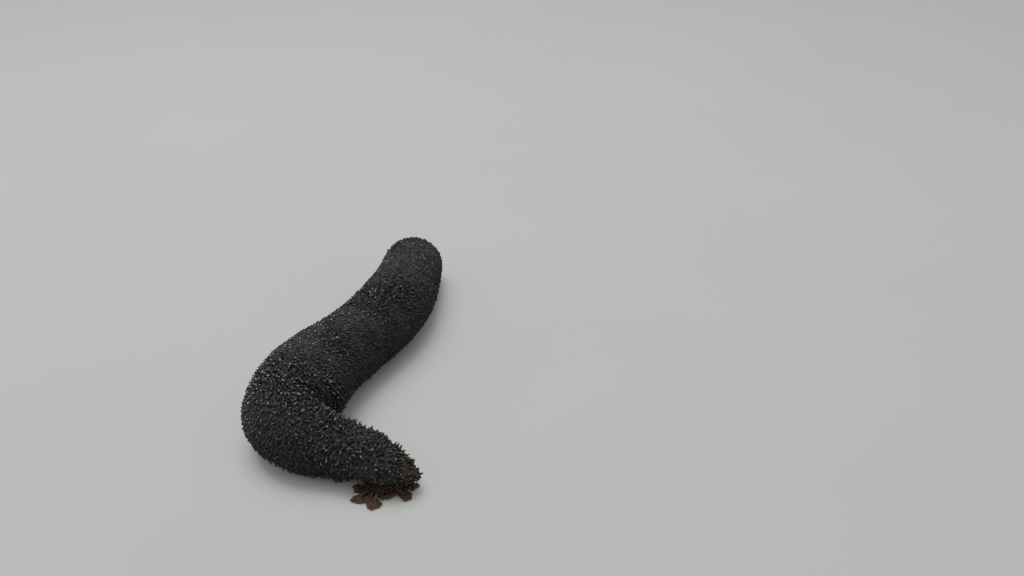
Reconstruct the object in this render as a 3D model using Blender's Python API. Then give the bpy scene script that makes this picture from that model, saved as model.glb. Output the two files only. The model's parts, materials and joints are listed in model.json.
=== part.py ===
"""A sea cucumber, life size, lying bent like a boomerang on the floor.

Metres, +Z up. The flat sole lies at z = 0 and the origin is under the middle of the model's box. The hind end
points to +Y, the outside of the bend to -X, and the mouth end lies at -Y with its tip towards +X. The body is
parted into seven lengths. The crown of feelers spreads on the floor under the mouth end.
"""

import math

import bmesh
import bpy
import numpy as np

MM = 0.001
GAP = 0.3 * MM

# The body's lengths from the hind end to the mouth end: name, length along the midline, and its turn to the
# left in degrees.
LENGTHS = (
    ("anal_end", 40 * MM, 4.0),
    ("rear_trunk", 52 * MM, -13.0),
    ("middle_trunk", 54 * MM, -18.0),
    ("fore_trunk", 60 * MM, 26.5),
    ("bend", 32 * MM, 81.0),
    ("neck", 31 * MM, -13.5),
    ("oral_end", 27 * MM, 20.0),
)
# Half the body's width where those lengths end, from the hind tip to the front tip.
HALF_WIDTHS = (18.5 * MM, 20.7 * MM, 23.4 * MM, 23.7 * MM, 25.5 * MM, 19.5 * MM, 15.6 * MM, 9.8 * MM)
# Height of the body as a share of its width at the hind tip, half way along and at the front tip.
HEIGHT_SHARES = (0.82, 0.85, 0.78)
# The hind tip of the midline and its heading there, in degrees from +X.
HIND_TIP = (28.4 * MM, 128.4 * MM)
HIND_HEADING = -95.5
# The length over which one turn eases into the next.
TURN_EASE = 1.5 * MM

# The section is a loaf: an ellipse whose middle lies at this share of the height, with its lower half cut
# level by the floor.
MIDDLE_SHARE = 0.44
LOWER_SHARE = 0.48
# That middle sinks towards both tips, to these shares of its own height.
HIND_RISE = 0.8
FRONT_RISE = 0.5
# Both tips close as quarter ellipses of these lengths.
HIND_CAP = 22.5 * MM
FRONT_CAP = 16 * MM
# A tip's first ring has this share of the full width, and the even rings start this many caps from the tip.
TIP_SHARE = 0.16
CAP_CLEARANCE = 1.1
# The inner side of the bend keeps this share of the turn's own radius, so that the body never crosses itself.
INNER_SHARE = 0.93
INNER_POWER = 8
INNER_EASE = 8 * MM
# The inner flank is a little hollow behind the bend. The hollow's depth is a bell curve along the body.
HOLLOW_DEPTH = 2.6 * MM
HOLLOW_STATION = 134 * MM
HOLLOW_LENGTH = 34 * MM
# The fold that runs from the notch of the bend up towards its back. It reaches its full depth where the
# section has climbed to one part in FOLD_CLIMB of the way to the back.
FOLD_DEPTH = 5 * MM
FOLD_LENGTH = 7 * MM
FOLD_CLIMB = 2
# The underside lifts off the floor near the front tip, to leave room for the crown.
LIFT = 4.4 * MM
LIFT_START = 40 * MM
LIFT_FULL = 28 * MM

# The vent, a round dimple in the hind tip.
VENT_DEPTH = 2.5 * MM
VENT_RIM_SHARE = 0.55

# The mouth disc and the feelers round it.
CROWN_BACK = 19 * MM
CROWN_RIGHT = 4 * MM
DISC_RADIUS = 7 * MM
DISC_BOTTOM = 1.8 * MM
# The disc's rounded edge: its underside and its top keep these shares of the radius.
DISC_UNDER_SHARE = 0.86
DISC_TOP_SHARE = 0.92
MOUTH_RADIUS = 2.4 * MM
MOUTH_DEPTH = 1.4 * MM
FEELERS = 20
FEELER_ROOT = 5.5 * MM
# Shorter and longer feelers take turns round the mouth.
FEELER_REACH = (11 * MM, 16 * MM)
# Share of that reach at each eighth of a turn, from straight ahead round by the left.
FEELER_SPREAD = (0.95, 0.8, 0.7, 0.65, 0.6, 0.85, 0.95, 0.5)
# A stalk swells by this share of its radius half way along. Its line has these heights at its root, half way
# along and at its pad.
STALK_RADIUS = 0.98 * MM
STALK_SWELL = 0.18
STALK_HEIGHT = (2.8 * MM, 2.8 * MM, 1.6 * MM)
# The pads of the short and of the long feelers. A pad is widest at this share of its height, and its rings
# lie at even tilts from under its rim up to its top.
PAD_RADIUS = (2.9 * MM, 3.7 * MM)
PAD_HEIGHT = 3.0 * MM
PAD_WIDEST_SHARE = 0.4
PAD_TILTS = (math.radians(-50), math.radians(76))
PAD_LOBES = 6
PAD_LOBE_DEPTH = 0.14

# How finely the solids are faceted.
SIDES = 36
RING_STEP = 6.5 * MM
TIP_RINGS = 6
DISC_SIDES = 32
STALK_SIDES = 6
STALK_RINGS = 4
PAD_SIDES = 18
PAD_RINGS = 4
MIDLINE_STEPS = 2000
SHARP_ANGLE = math.radians(50)

BODY_LENGTH = sum(length for _, length, _ in LENGTHS)
LENGTH_ENDS = np.concatenate([[0.0], np.cumsum([length for _, length, _ in LENGTHS])])
FOLD_STATION = (LENGTH_ENDS[4] + LENGTH_ENDS[5]) / 2

# Colour, roughness and metallic value of each material.
BLACK_SKIN = ((0.028, 0.027, 0.026, 1.0), 0.6, 0.0)
DARK_SKIN = ((0.022, 0.020, 0.019, 1.0), 0.6, 0.0)
BROWN_SKIN = ((0.034, 0.026, 0.021, 1.0), 0.6, 0.0)
RUSTY_FEELERS = ((0.110, 0.048, 0.026, 1.0), 0.5, 0.0)
SKINS = {
    "anal_end": DARK_SKIN,
    "rear_trunk": BLACK_SKIN,
    "middle_trunk": BLACK_SKIN,
    "fore_trunk": BLACK_SKIN,
    "bend": BLACK_SKIN,
    "neck": BLACK_SKIN,
    "oral_end": BROWN_SKIN,
}


def smooth_step(share):
    """Eases from 0 to 1 with level ends."""
    share = min(max(share, 0.0), 1.0)
    return share * share * (3 - 2 * share)


def smooth_between(station, stations, values):
    """A smooth curve through the values at those stations, read at one station."""
    slopes = np.gradient(values, stations)
    i = int(np.clip(np.searchsorted(stations, station) - 1, 0, len(stations) - 2))
    span = stations[i + 1] - stations[i]
    t = (station - stations[i]) / span
    return float(
        (1 + 2 * t) * (1 - t) ** 2 * values[i]
        + t * (1 - t) ** 2 * span * slopes[i]
        + t * t * (3 - 2 * t) * values[i + 1]
        + t * t * (t - 1) * span * slopes[i + 1]
    )


def spread_out(values, reach):
    """Each value becomes the largest within that many steps, eased over as many more."""
    window = 2 * reach + 1
    padded = np.pad(values, reach, mode="edge")
    widened = np.lib.stride_tricks.sliding_window_view(padded, window).max(axis=1)
    return np.convolve(np.pad(widened, reach, mode="edge"), np.full(window, 1 / window), mode="valid")


def make_midline():
    """Stations along the body, with the midline's place and heading and the sharpest turn near each."""
    station = np.linspace(0.0, BODY_LENGTH, MIDLINE_STEPS)
    curvature = np.zeros_like(station)
    for (_, length, turn), start, stop in zip(LENGTHS, LENGTH_ENDS[:-1], LENGTH_ENDS[1:]):
        begun = 1 / (1 + np.exp((start - station) / TURN_EASE))
        ended = 1 / (1 + np.exp((stop - station) / TURN_EASE))
        curvature += math.radians(turn) / length * (begun - ended)
    step = station[1] - station[0]
    between = (curvature[1:] + curvature[:-1]) / 2
    heading = math.radians(HIND_HEADING) + np.concatenate([[0.0], np.cumsum(between) * step])
    middle = (heading[1:] + heading[:-1]) / 2
    x = HIND_TIP[0] + np.concatenate([[0.0], np.cumsum(np.cos(middle)) * step])
    y = HIND_TIP[1] + np.concatenate([[0.0], np.cumsum(np.sin(middle)) * step])
    return station, x, y, heading, spread_out(curvature, round(INNER_EASE / step))


MIDLINE = make_midline()


def on_midline(station):
    """The midline's place and heading at a station, and the sharpest turn near it."""
    stations = MIDLINE[0]
    return tuple(float(np.interp(station, stations, column)) for column in MIDLINE[1:])


def closing(station):
    """1 along the body, falling to 0 at each tip as a quarter ellipse does."""
    hind = min(station / HIND_CAP, 1.0)
    front = min((BODY_LENGTH - station) / FRONT_CAP, 1.0)
    return math.sqrt(max(1 - (1 - hind) ** 2, 0.0)) * math.sqrt(max(1 - (1 - front) ** 2, 0.0))


def lift_at(station):
    """How far the underside stands off the floor."""
    return LIFT * smooth_step((LIFT_START - (BODY_LENGTH - station)) / (LIFT_START - LIFT_FULL))


def beside_midline(station, left, up):
    """The point that lies so far to the left of the midline and so far up."""
    x, y, heading, _ = on_midline(station)
    return (x - left * math.sin(heading), y + left * math.cos(heading), up)


def body_point(station, angle):
    """A point of the body's outside. Angle 0 is its left side, a quarter turn its back."""
    turn = on_midline(station)[3]
    width = smooth_between(station, LENGTH_ENDS, np.array(HALF_WIDTHS))
    share = smooth_between(station, np.array([0.0, 0.5, 1.0]) * BODY_LENGTH, np.array(HEIGHT_SHARES))
    closed = closing(station)
    height = 2 * width * share
    left = width * closed * math.cos(angle)
    inner = max(turn * left, 0.0) / INNER_SHARE
    left /= (1 + inner**INNER_POWER) ** (1 / INNER_POWER)
    hollow = HOLLOW_DEPTH * math.exp(-(((station - HOLLOW_STATION) / HOLLOW_LENGTH) ** 2))
    left -= hollow * smooth_step(math.cos(angle))
    reach = 1 - MIDDLE_SHARE if math.sin(angle) > 0 else LOWER_SHARE
    rise = HIND_RISE if station < BODY_LENGTH / 2 else FRONT_RISE
    middle = MIDDLE_SHARE * height * (rise + (1 - rise) * closed)
    up = middle + reach * height * closed * math.sin(angle)
    along = math.exp(-(((station - FOLD_STATION) / FOLD_LENGTH) ** 2))
    up -= FOLD_DEPTH * along * smooth_step(math.cos(angle)) * smooth_step(math.sin(angle) * FOLD_CLIMB)
    floor = lift_at(station)
    return beside_midline(station, left, floor + (1 - floor / height) * max(up, 0.0))


def add_ring(bm, points):
    """A closed loop of edges through the points."""
    ring = bmesh.ops.create_circle(bm, cap_ends=False, segments=len(points), radius=1.0)["verts"]
    for vert, point in zip(ring, points):
        vert.co = point
    return ring


def ring_edges(ring):
    """The edges between the verts of one ring."""
    own = set(ring)
    edges = {edge for vert in ring for edge in vert.link_edges}
    return [edge for edge in edges if own.issuperset(edge.verts)]


def join_rings(bm, rings):
    """Walls from each ring to the next."""
    for first, second in zip(rings[:-1], rings[1:]):
        bmesh.ops.bridge_loops(bm, edges=ring_edges(first) + ring_edges(second))


def close_ring(bm, ring, pole=None):
    """One face over a ring's mouth, drawn to a pole where there is one."""
    face = bmesh.ops.contextual_create(bm, geom=ring_edges(ring))["faces"]
    if pole is not None:
        bmesh.ops.poke(bm, faces=face)["verts"][0].co = pole


def finish_object(name, bm, finish):
    """Makes the mesh an object of that name, shaded smooth, with its material."""
    bmesh.ops.recalc_face_normals(bm, faces=bm.faces)
    mesh = bpy.data.meshes.new(name)
    bm.to_mesh(mesh)
    bm.free()
    mesh.shade_smooth()
    mesh.set_sharp_from_angle(angle=SHARP_ANGLE)
    obj = bpy.data.objects.new(name, mesh)
    bpy.context.scene.collection.objects.link(obj)
    colour, roughness, metallic = finish
    material = bpy.data.materials.new(name)
    material.use_nodes = True
    shader = material.node_tree.nodes["Principled BSDF"]
    shader.inputs["Base Color"].default_value = colour
    shader.inputs["Roughness"].default_value = roughness
    shader.inputs["Metallic"].default_value = metallic
    mesh.materials.append(material)
    return obj


def stations_of(start, stop):
    """The rings' stations along one length, closer together where a tip closes."""
    count = max(3, round((stop - start) / RING_STEP) + 1)
    stations = list(np.linspace(start, stop, count))
    if start == 0.0:
        shares = np.linspace(TIP_SHARE, 1.0, TIP_RINGS)
        tip = [HIND_CAP * (1 - math.sqrt(1 - share**2)) for share in shares]
        stations = tip + [station for station in stations if station > HIND_CAP * CAP_CLEARANCE]
    if stop == BODY_LENGTH:
        shares = np.linspace(1.0, TIP_SHARE, TIP_RINGS)
        tip = [stop - FRONT_CAP * (1 - math.sqrt(1 - share**2)) for share in shares]
        stations = [station for station in stations if station < stop - FRONT_CAP * CAP_CLEARANCE] + tip
    return stations


def add_vent(bm, ring):
    """The dimple in the hind tip: a ring a little inside the rim, and a pole sunk into the body."""
    centre = sum((vert.co for vert in ring), ring[0].co * 0) / len(ring)
    inwards = beside_midline(VENT_DEPTH, 0.0, centre.z)
    rim = add_ring(bm, [centre.lerp(vert.co, VENT_RIM_SHARE) for vert in ring])
    join_rings(bm, [ring, rim])
    close_ring(bm, rim, pole=inwards)


def make_body_length(name, start, stop):
    """One length of the body, lofted through rings square to the midline."""
    bm = bmesh.new()
    angles = np.arange(SIDES) * 2 * math.pi / SIDES
    rings = [
        add_ring(bm, [body_point(station, angle) for angle in angles]) for station in stations_of(start, stop)
    ]
    join_rings(bm, rings)
    if start == 0.0:
        add_vent(bm, rings[0])
    else:
        close_ring(bm, rings[0])
    if stop == BODY_LENGTH:
        close_ring(bm, rings[-1], pole=body_point(BODY_LENGTH, 0.0))
    else:
        close_ring(bm, rings[-1])
    return finish_object(name, bm, SKINS[name])


def crown_centre():
    """The middle of the mouth on the floor, and the heading of the body above it."""
    station = BODY_LENGTH - CROWN_BACK
    x, y, _ = beside_midline(station, -CROWN_RIGHT, 0.0)
    return x, y, on_midline(station)[2]


def make_mouth_disc():
    """The round disc that the feelers grow from, with the mouth as a dimple in its underside."""
    x, y, _ = crown_centre()
    angles = np.arange(DISC_SIDES) * 2 * math.pi / DISC_SIDES
    top = LIFT - GAP
    levels = (
        (MOUTH_RADIUS, DISC_BOTTOM),
        (DISC_RADIUS * DISC_UNDER_SHARE, DISC_BOTTOM),
        (DISC_RADIUS, (DISC_BOTTOM + top) / 2),
        (DISC_RADIUS * DISC_TOP_SHARE, top),
    )
    bm = bmesh.new()
    rings = [
        add_ring(bm, [(x + radius * math.cos(a), y + radius * math.sin(a), up) for a in angles])
        for radius, up in levels
    ]
    join_rings(bm, rings)
    close_ring(bm, rings[0], pole=(x, y, DISC_BOTTOM + MOUTH_DEPTH))
    close_ring(bm, rings[-1])
    return finish_object("tentacle_crown", bm, RUSTY_FEELERS)


def feelers_of(ring):
    """The direction, reach, pad radius and size of each feeler of the short ring, 0, or the long ring, 1."""
    heading = crown_centre()[2]
    eighths = np.linspace(0.0, 2 * math.pi, len(FEELER_SPREAD) + 1)
    for i in range(ring, FEELERS, 2):
        turn = 2 * math.pi * (i + 0.5) / FEELERS
        size = float(np.interp(turn, eighths, FEELER_SPREAD + FEELER_SPREAD[:1]))
        yield heading + turn, FEELER_REACH[ring] * size, PAD_RADIUS[ring] * size, size


def add_stalk(bm, direction, reach, size):
    """A feeler's stalk, a round rod that leaves the disc level and bends down to its pad."""
    x, y, _ = crown_centre()
    ahead = (math.cos(direction), math.sin(direction))
    angles = np.arange(STALK_SIDES) * 2 * math.pi / STALK_SIDES
    levels = np.array(STALK_HEIGHT)
    rings = []
    for share in np.linspace(0.0, 1.0, STALK_RINGS):
        out = FEELER_ROOT + (reach - FEELER_ROOT) * share
        up = smooth_between(share, np.array([0.0, 0.5, 1.0]), levels)
        radius = STALK_RADIUS * size * (1 + STALK_SWELL * math.sin(math.pi * share))
        ring = []
        for a in angles:
            aside = radius * math.cos(a)
            across = x + out * ahead[0] - aside * ahead[1]
            along = y + out * ahead[1] + aside * ahead[0]
            ring.append((across, along, up + radius * math.sin(a)))
        rings.append(add_ring(bm, ring))
    join_rings(bm, rings)
    close_ring(bm, rings[0])
    close_ring(bm, rings[-1])


def add_pad(bm, direction, reach, radius, size):
    """A feeler's end, a low cushion with a lobed rim and a flat underside on the floor.

    A small pad is less flat than a large one: its height shrinks half as much as its radius.
    """
    x, y, _ = crown_centre()
    centre = (x + reach * math.cos(direction), y + reach * math.sin(direction))
    height = PAD_HEIGHT * (1 + size) / 2
    angles = np.arange(PAD_SIDES) * 2 * math.pi / PAD_SIDES
    rings = []
    for tilt in np.linspace(*PAD_TILTS, PAD_RINGS):
        spread = radius * math.cos(tilt)
        up = height * max(PAD_WIDEST_SHARE + (1 - PAD_WIDEST_SHARE) * math.sin(tilt), 0.0)
        ring = []
        for a in angles:
            out = spread * (1 + PAD_LOBE_DEPTH * math.cos(PAD_LOBES * (a - direction)))
            ring.append((centre[0] + out * math.cos(a), centre[1] + out * math.sin(a), up))
        rings.append(add_ring(bm, ring))
    join_rings(bm, rings)
    close_ring(bm, rings[0])
    close_ring(bm, rings[-1], pole=(centre[0], centre[1], height))


def add_union(target, name, bm):
    """Joins the mesh to the target by a Boolean union, with the mesh kept as a hidden helper."""
    helper = finish_object(name, bm, RUSTY_FEELERS)
    helper.hide_render = True
    helper.display_type = "WIRE"
    modifier = target.modifiers.new(name, "BOOLEAN")
    modifier.operation = "UNION"
    modifier.solver = "EXACT"
    modifier.object = helper


def make_crown():
    """The mouth disc with its two rings of feelers, all one body."""
    crown = make_mouth_disc()
    for ring, ring_name in enumerate(("short", "long")):
        stalks = bmesh.new()
        pads = bmesh.new()
        for direction, reach, pad_radius, size in feelers_of(ring):
            add_stalk(stalks, direction, reach, size)
            add_pad(pads, direction, reach, pad_radius, size)
        add_union(crown, ring_name + "_feeler_stalks", stalks)
        add_union(crown, ring_name + "_feeler_pads", pads)
    return crown


def main():
    for obj in list(bpy.data.objects):
        bpy.data.objects.remove(obj, do_unlink=True)
    for (name, _, _), start, stop in zip(LENGTHS, LENGTH_ENDS[:-1], LENGTH_ENDS[1:]):
        first = start if start == 0.0 else start + GAP / 2
        last = BODY_LENGTH if name == LENGTHS[-1][0] else stop - GAP / 2
        make_body_length(name, first, last)
    make_crown()


main()
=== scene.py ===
"""A sea cucumber, life size, dressed over its solids as a still model for a museum.

One skin follows the solids' form, drawn inwards by the length of the papillae. The papillae stand on it and
reach out to the solids' outline. Tube feet reach from the sole down to the floor, and a crown of branched
feelers spreads under the mouth end. Metres, +Z up, in the frame of the solids.
"""

import json
import logging
import math
from dataclasses import dataclass
from enum import Enum
from functools import cached_property

import bpy
import numpy as np
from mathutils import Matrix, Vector
from mathutils.kdtree import KDTree

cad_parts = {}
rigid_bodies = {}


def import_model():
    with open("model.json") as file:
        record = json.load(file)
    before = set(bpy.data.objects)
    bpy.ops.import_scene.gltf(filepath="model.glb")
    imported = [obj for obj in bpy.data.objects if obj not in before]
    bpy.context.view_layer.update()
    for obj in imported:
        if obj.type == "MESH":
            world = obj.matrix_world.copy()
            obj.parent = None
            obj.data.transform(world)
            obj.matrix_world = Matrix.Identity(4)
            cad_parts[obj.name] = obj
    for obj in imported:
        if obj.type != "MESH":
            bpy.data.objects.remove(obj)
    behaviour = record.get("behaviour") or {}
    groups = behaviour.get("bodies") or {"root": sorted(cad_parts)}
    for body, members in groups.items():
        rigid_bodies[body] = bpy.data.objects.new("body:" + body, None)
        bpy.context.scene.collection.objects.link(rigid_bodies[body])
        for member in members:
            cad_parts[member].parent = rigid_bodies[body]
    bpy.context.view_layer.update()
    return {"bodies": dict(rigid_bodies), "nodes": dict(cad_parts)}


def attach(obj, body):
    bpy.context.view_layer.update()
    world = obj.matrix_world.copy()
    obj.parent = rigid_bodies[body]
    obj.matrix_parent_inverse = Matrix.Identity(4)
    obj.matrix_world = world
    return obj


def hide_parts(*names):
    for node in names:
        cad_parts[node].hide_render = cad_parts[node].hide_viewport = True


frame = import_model()

MM = 0.001
BAKE_MAP = "OFBake"
# The point values that skin and growths share: how far up a growth, how pale its tip, how rusty the flesh.
RISE = "rise"
PALLOR = "pallor"
RUST = "rust"
CROWN_NODE = "tentacle_crown"
UPRIGHT = np.array([0.0, 0.0, 1.0])
GOLDEN_SHARE = (math.sqrt(5) - 1) / 2

# Short names for the types that come up most.
Array = np.ndarray
Draws = np.random.Generator
Pair = tuple[float, float]
Triple = tuple[float, float, float]
Floats = tuple[float, ...]
Colour = tuple[float, float, float, float]
Tree = bpy.types.NodeTree
Socket = bpy.types.NodeSocket
Sockets = bpy.types.bpy_prop_collection
Wanted = float | Triple | Colour | Socket

log = logging.getLogger("sea_cucumber")


class Slot(Enum):
    """The material slots of the record."""

    SKIN = "skin"
    FEELERS = "feelers"


class Seed(Enum):
    """One start of the random draws for each thing that has its own."""

    SKIN = 11
    PAPILLAE = 23
    TUBE_FEET = 37
    FEELERS = 53
    SPECKLES = 67

    def draws(self) -> Draws:
        """A new run of random draws from this start."""
        return np.random.default_rng(self.value)


def smooth_step(share: Array) -> Array:
    """Eases from 0 to 1 with level ends: 3 s^2 - 2 s^3, with s held between 0 and 1."""
    held = np.clip(share, 0.0, 1.0)
    return held * held * (3 - 2 * held)


def ramp(value: Array, start: float, span: float) -> Array:
    """Eases from 0 at a start to 1 one span further on."""
    return smooth_step((value - start) / span)


def blend(first: Array, second: Array, share: Array) -> Array:
    """The first where the share is 0, the second where it is 1."""
    return first + (second - first) * share


def unit(vectors: Array) -> Array:
    """The vectors at length 1."""
    return vectors / np.maximum(np.linalg.norm(vectors, axis=-1, keepdims=True), 1e-12)


def bell(distance: Array, width: float | Array) -> Array:
    """A bell curve of a distance: 1 at 0, and 1 over e at the width."""
    return np.exp(-((distance / width) ** 2))


def compass(angle: Array) -> Array:
    """The level directions at angles from +X."""
    return np.stack([np.cos(angle), np.sin(angle), np.zeros_like(angle)], -1)


def smooth_between(at: Array, stations: Array, values: Array) -> Array:
    """A smooth curve through values at stations: cubic pieces whose slopes are the mean slopes there.

    Args:
        at: Where to read the curve.
        stations: The rising places of the values.
        values: The values.

    Returns:
        The curve's height at each place.
    """
    slopes = np.gradient(values, stations)
    i = np.clip(np.searchsorted(stations, at) - 1, 0, len(stations) - 2)
    span = stations[i + 1] - stations[i]
    t = (at - stations[i]) / span
    ends = (1 + 2 * t) * (1 - t) ** 2 * values[i] + t * t * (3 - 2 * t) * values[i + 1]
    return ends + t * (1 - t) ** 2 * span * slopes[i] + t * t * (t - 1) * span * slopes[i + 1]


def ripples(rng: Draws, shape: tuple[int, int], reach: Pair) -> Array:
    """Random ripples on a grid, of spread 1: white noise blurred by a bell curve, wave by wave.

    Args:
        rng: The random draws.
        shape: Rows and columns.
        reach: The bell's width along and across, in cells.

    Returns:
        One height for each grid point.
    """
    along, across = (np.fft.fftfreq(count) * cells for count, cells in zip(shape, reach))
    fade = np.exp(-2 * np.pi**2 * (along[:, None] ** 2 + across[None, :] ** 2))
    height = np.fft.ifft2(np.fft.fft2(rng.standard_normal(shape)) * fade).real
    return height / height.std()


@dataclass
class Shell:
    """A closed mesh as whole arrays.

    Attributes:
        points: One row for each point.
        faces: Arrays of faces, each with its own number of corners.
        values: Point values by name.
        uv: One row for each corner, in the order of the faces, or None.
    """

    points: Array
    faces: list[Array]
    values: dict[str, Array]
    uv: Array | None = None

    @staticmethod
    def joined(shells: list["Shell"]) -> "Shell":
        """Several shells in one, without their maps.

        Args:
            shells: The shells, which all have the same point values.

        Returns:
            One shell.
        """
        starts = np.cumsum([0] + [len(shell.points) for shell in shells[:-1]])
        faces = [group + start for shell, start in zip(shells, starts) for group in shell.faces]
        points = np.concatenate([shell.points for shell in shells])
        names = shells[0].values
        values = {name: np.concatenate([shell.values[name] for shell in shells]) for name in names}
        return Shell(points, faces, values)

    def raise_to(self, lowest: float) -> None:
        """Lifts the points below a height up to it."""
        self.points[:, 2] = np.maximum(self.points[:, 2], lowest)

    def make_object(self, name: str, material: bpy.types.Material) -> bpy.types.Object:
        """Puts the arrays into a mesh, shaded smooth, and links its object.

        Args:
            name: The object's name.
            material: Its only material.

        Returns:
            The object, at the origin.
        """
        mesh = bpy.data.meshes.new(name)
        corners = np.concatenate([group.ravel() for group in self.faces]).astype(np.int32)
        sizes = np.concatenate([np.full(len(group), group.shape[1]) for group in self.faces])
        starts = np.concatenate([[0], np.cumsum(sizes)[:-1]]).astype(np.int32)
        mesh.vertices.add(len(self.points))
        mesh.vertices.foreach_set("co", self.points.astype(np.float32).ravel())
        mesh.loops.add(len(corners))
        mesh.loops.foreach_set("vertex_index", corners)
        mesh.polygons.add(len(sizes))
        mesh.polygons.foreach_set("loop_start", starts)
        mesh.update(calc_edges=True)
        mesh.validate()
        mesh.shade_smooth()
        for key, value in self.values.items():
            attribute = mesh.attributes.new(key, "FLOAT", "POINT")
            attribute.data.foreach_set("value", value.astype(np.float32).ravel())
        if self.uv is not None:
            layer = mesh.uv_layers.new(name=BAKE_MAP)
            layer.uv.foreach_set("vector", self.uv.astype(np.float32).ravel())
        mesh.materials.append(material)
        made = bpy.data.objects.new(name, mesh)
        bpy.context.scene.collection.objects.link(made)
        return made


def sweep(
    paths: Array,
    radii: Array,
    side: Array,
    up: Array,
    sides: int,
    values: dict[str, Array],
    patch: Array | None = None,
    patch_width: float = 0.0,
) -> Shell:
    """Round closed tubes along many paths at once: point = path + radius (side cos a + up sin a).

    The first and last point of each path are the tube's poles, and the others carry its rings. Side and up
    are square to the path, with side x up along it.

    Args:
        paths: Tubes, points of the path, 3.
        radii: The rings' radii, tubes by rings.
        side: One direction square to each path, broadcast to its rings.
        up: The other direction.
        sides: Points of a ring.
        values: Point values by name, tubes by points of the path.
        patch: Each tube's place on the bake map, or None for no map.
        patch_width: Width of a tube's round patch there, with its tip in the middle.

    Returns:
        All tubes in one shell.
    """
    count, steps = paths.shape[:2]
    rings = steps - 2
    angle = np.arange(sides) * 2 * math.pi / sides
    round_side = np.cos(angle)[:, None] * side[..., None, :]
    round_up = np.sin(angle)[:, None] * up[..., None, :]
    ring_points = paths[:, 1:-1, None, :] + radii[:, :, None, None] * (round_side + round_up)
    per_tube = rings * sides + 2
    points = np.concatenate([ring_points.reshape(count, -1, 3), paths[:, :1], paths[:, -1:]], axis=1)

    ring, turn = np.meshgrid(np.arange(rings - 1), np.arange(sides), indexing="ij")
    onward = (turn + 1) % sides
    lower = ring * sides
    quads = np.stack([lower + turn, lower + onward, lower + sides + onward, lower + sides + turn], -1)
    first = np.arange(sides)
    following = (first + 1) % sides
    last = (rings - 1) * sides
    root_fan = np.stack([following, first, np.full(sides, per_tube - 2)], -1)
    tip_fan = np.stack([last + first, last + following, np.full(sides, per_tube - 1)], -1)
    shift = (np.arange(count) * per_tube)[:, None, None]
    faces = [
        (group.reshape(1, -1, group.shape[-1]) + shift).reshape(-1, group.shape[-1])
        for group in (quads, root_fan, tip_fan)
    ]
    point_values = {
        name: np.concatenate([np.repeat(held[:, 1:-1], sides, axis=1), held[:, :1], held[:, -1:]], axis=1)
        for name, held in values.items()
    }
    uv = None
    if patch is not None:
        spread = (1 - np.arange(rings) / rings)[:, None, None] * patch_width / 2
        rim = (spread * np.stack([np.cos(angle), np.sin(angle)], -1)).reshape(-1, 2)
        local = np.concatenate([rim, rim[:1], np.zeros((1, 2))])
        point_uv = (patch[:, None, :] + local).reshape(-1, 2)
        held = [point_uv[group] for group in faces]
        # The hidden root fans take no room on the map: each lies at one point of its patch's rim.
        held[1] = np.repeat(point_uv[faces[1][:, 2]], 3, axis=0)
        uv = np.concatenate([corner.reshape(-1, 2) for corner in held])
    flat_values = {name: value.reshape(-1) for name, value in point_values.items()}
    return Shell(points.reshape(-1, 3), faces, flat_values, uv)


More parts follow.
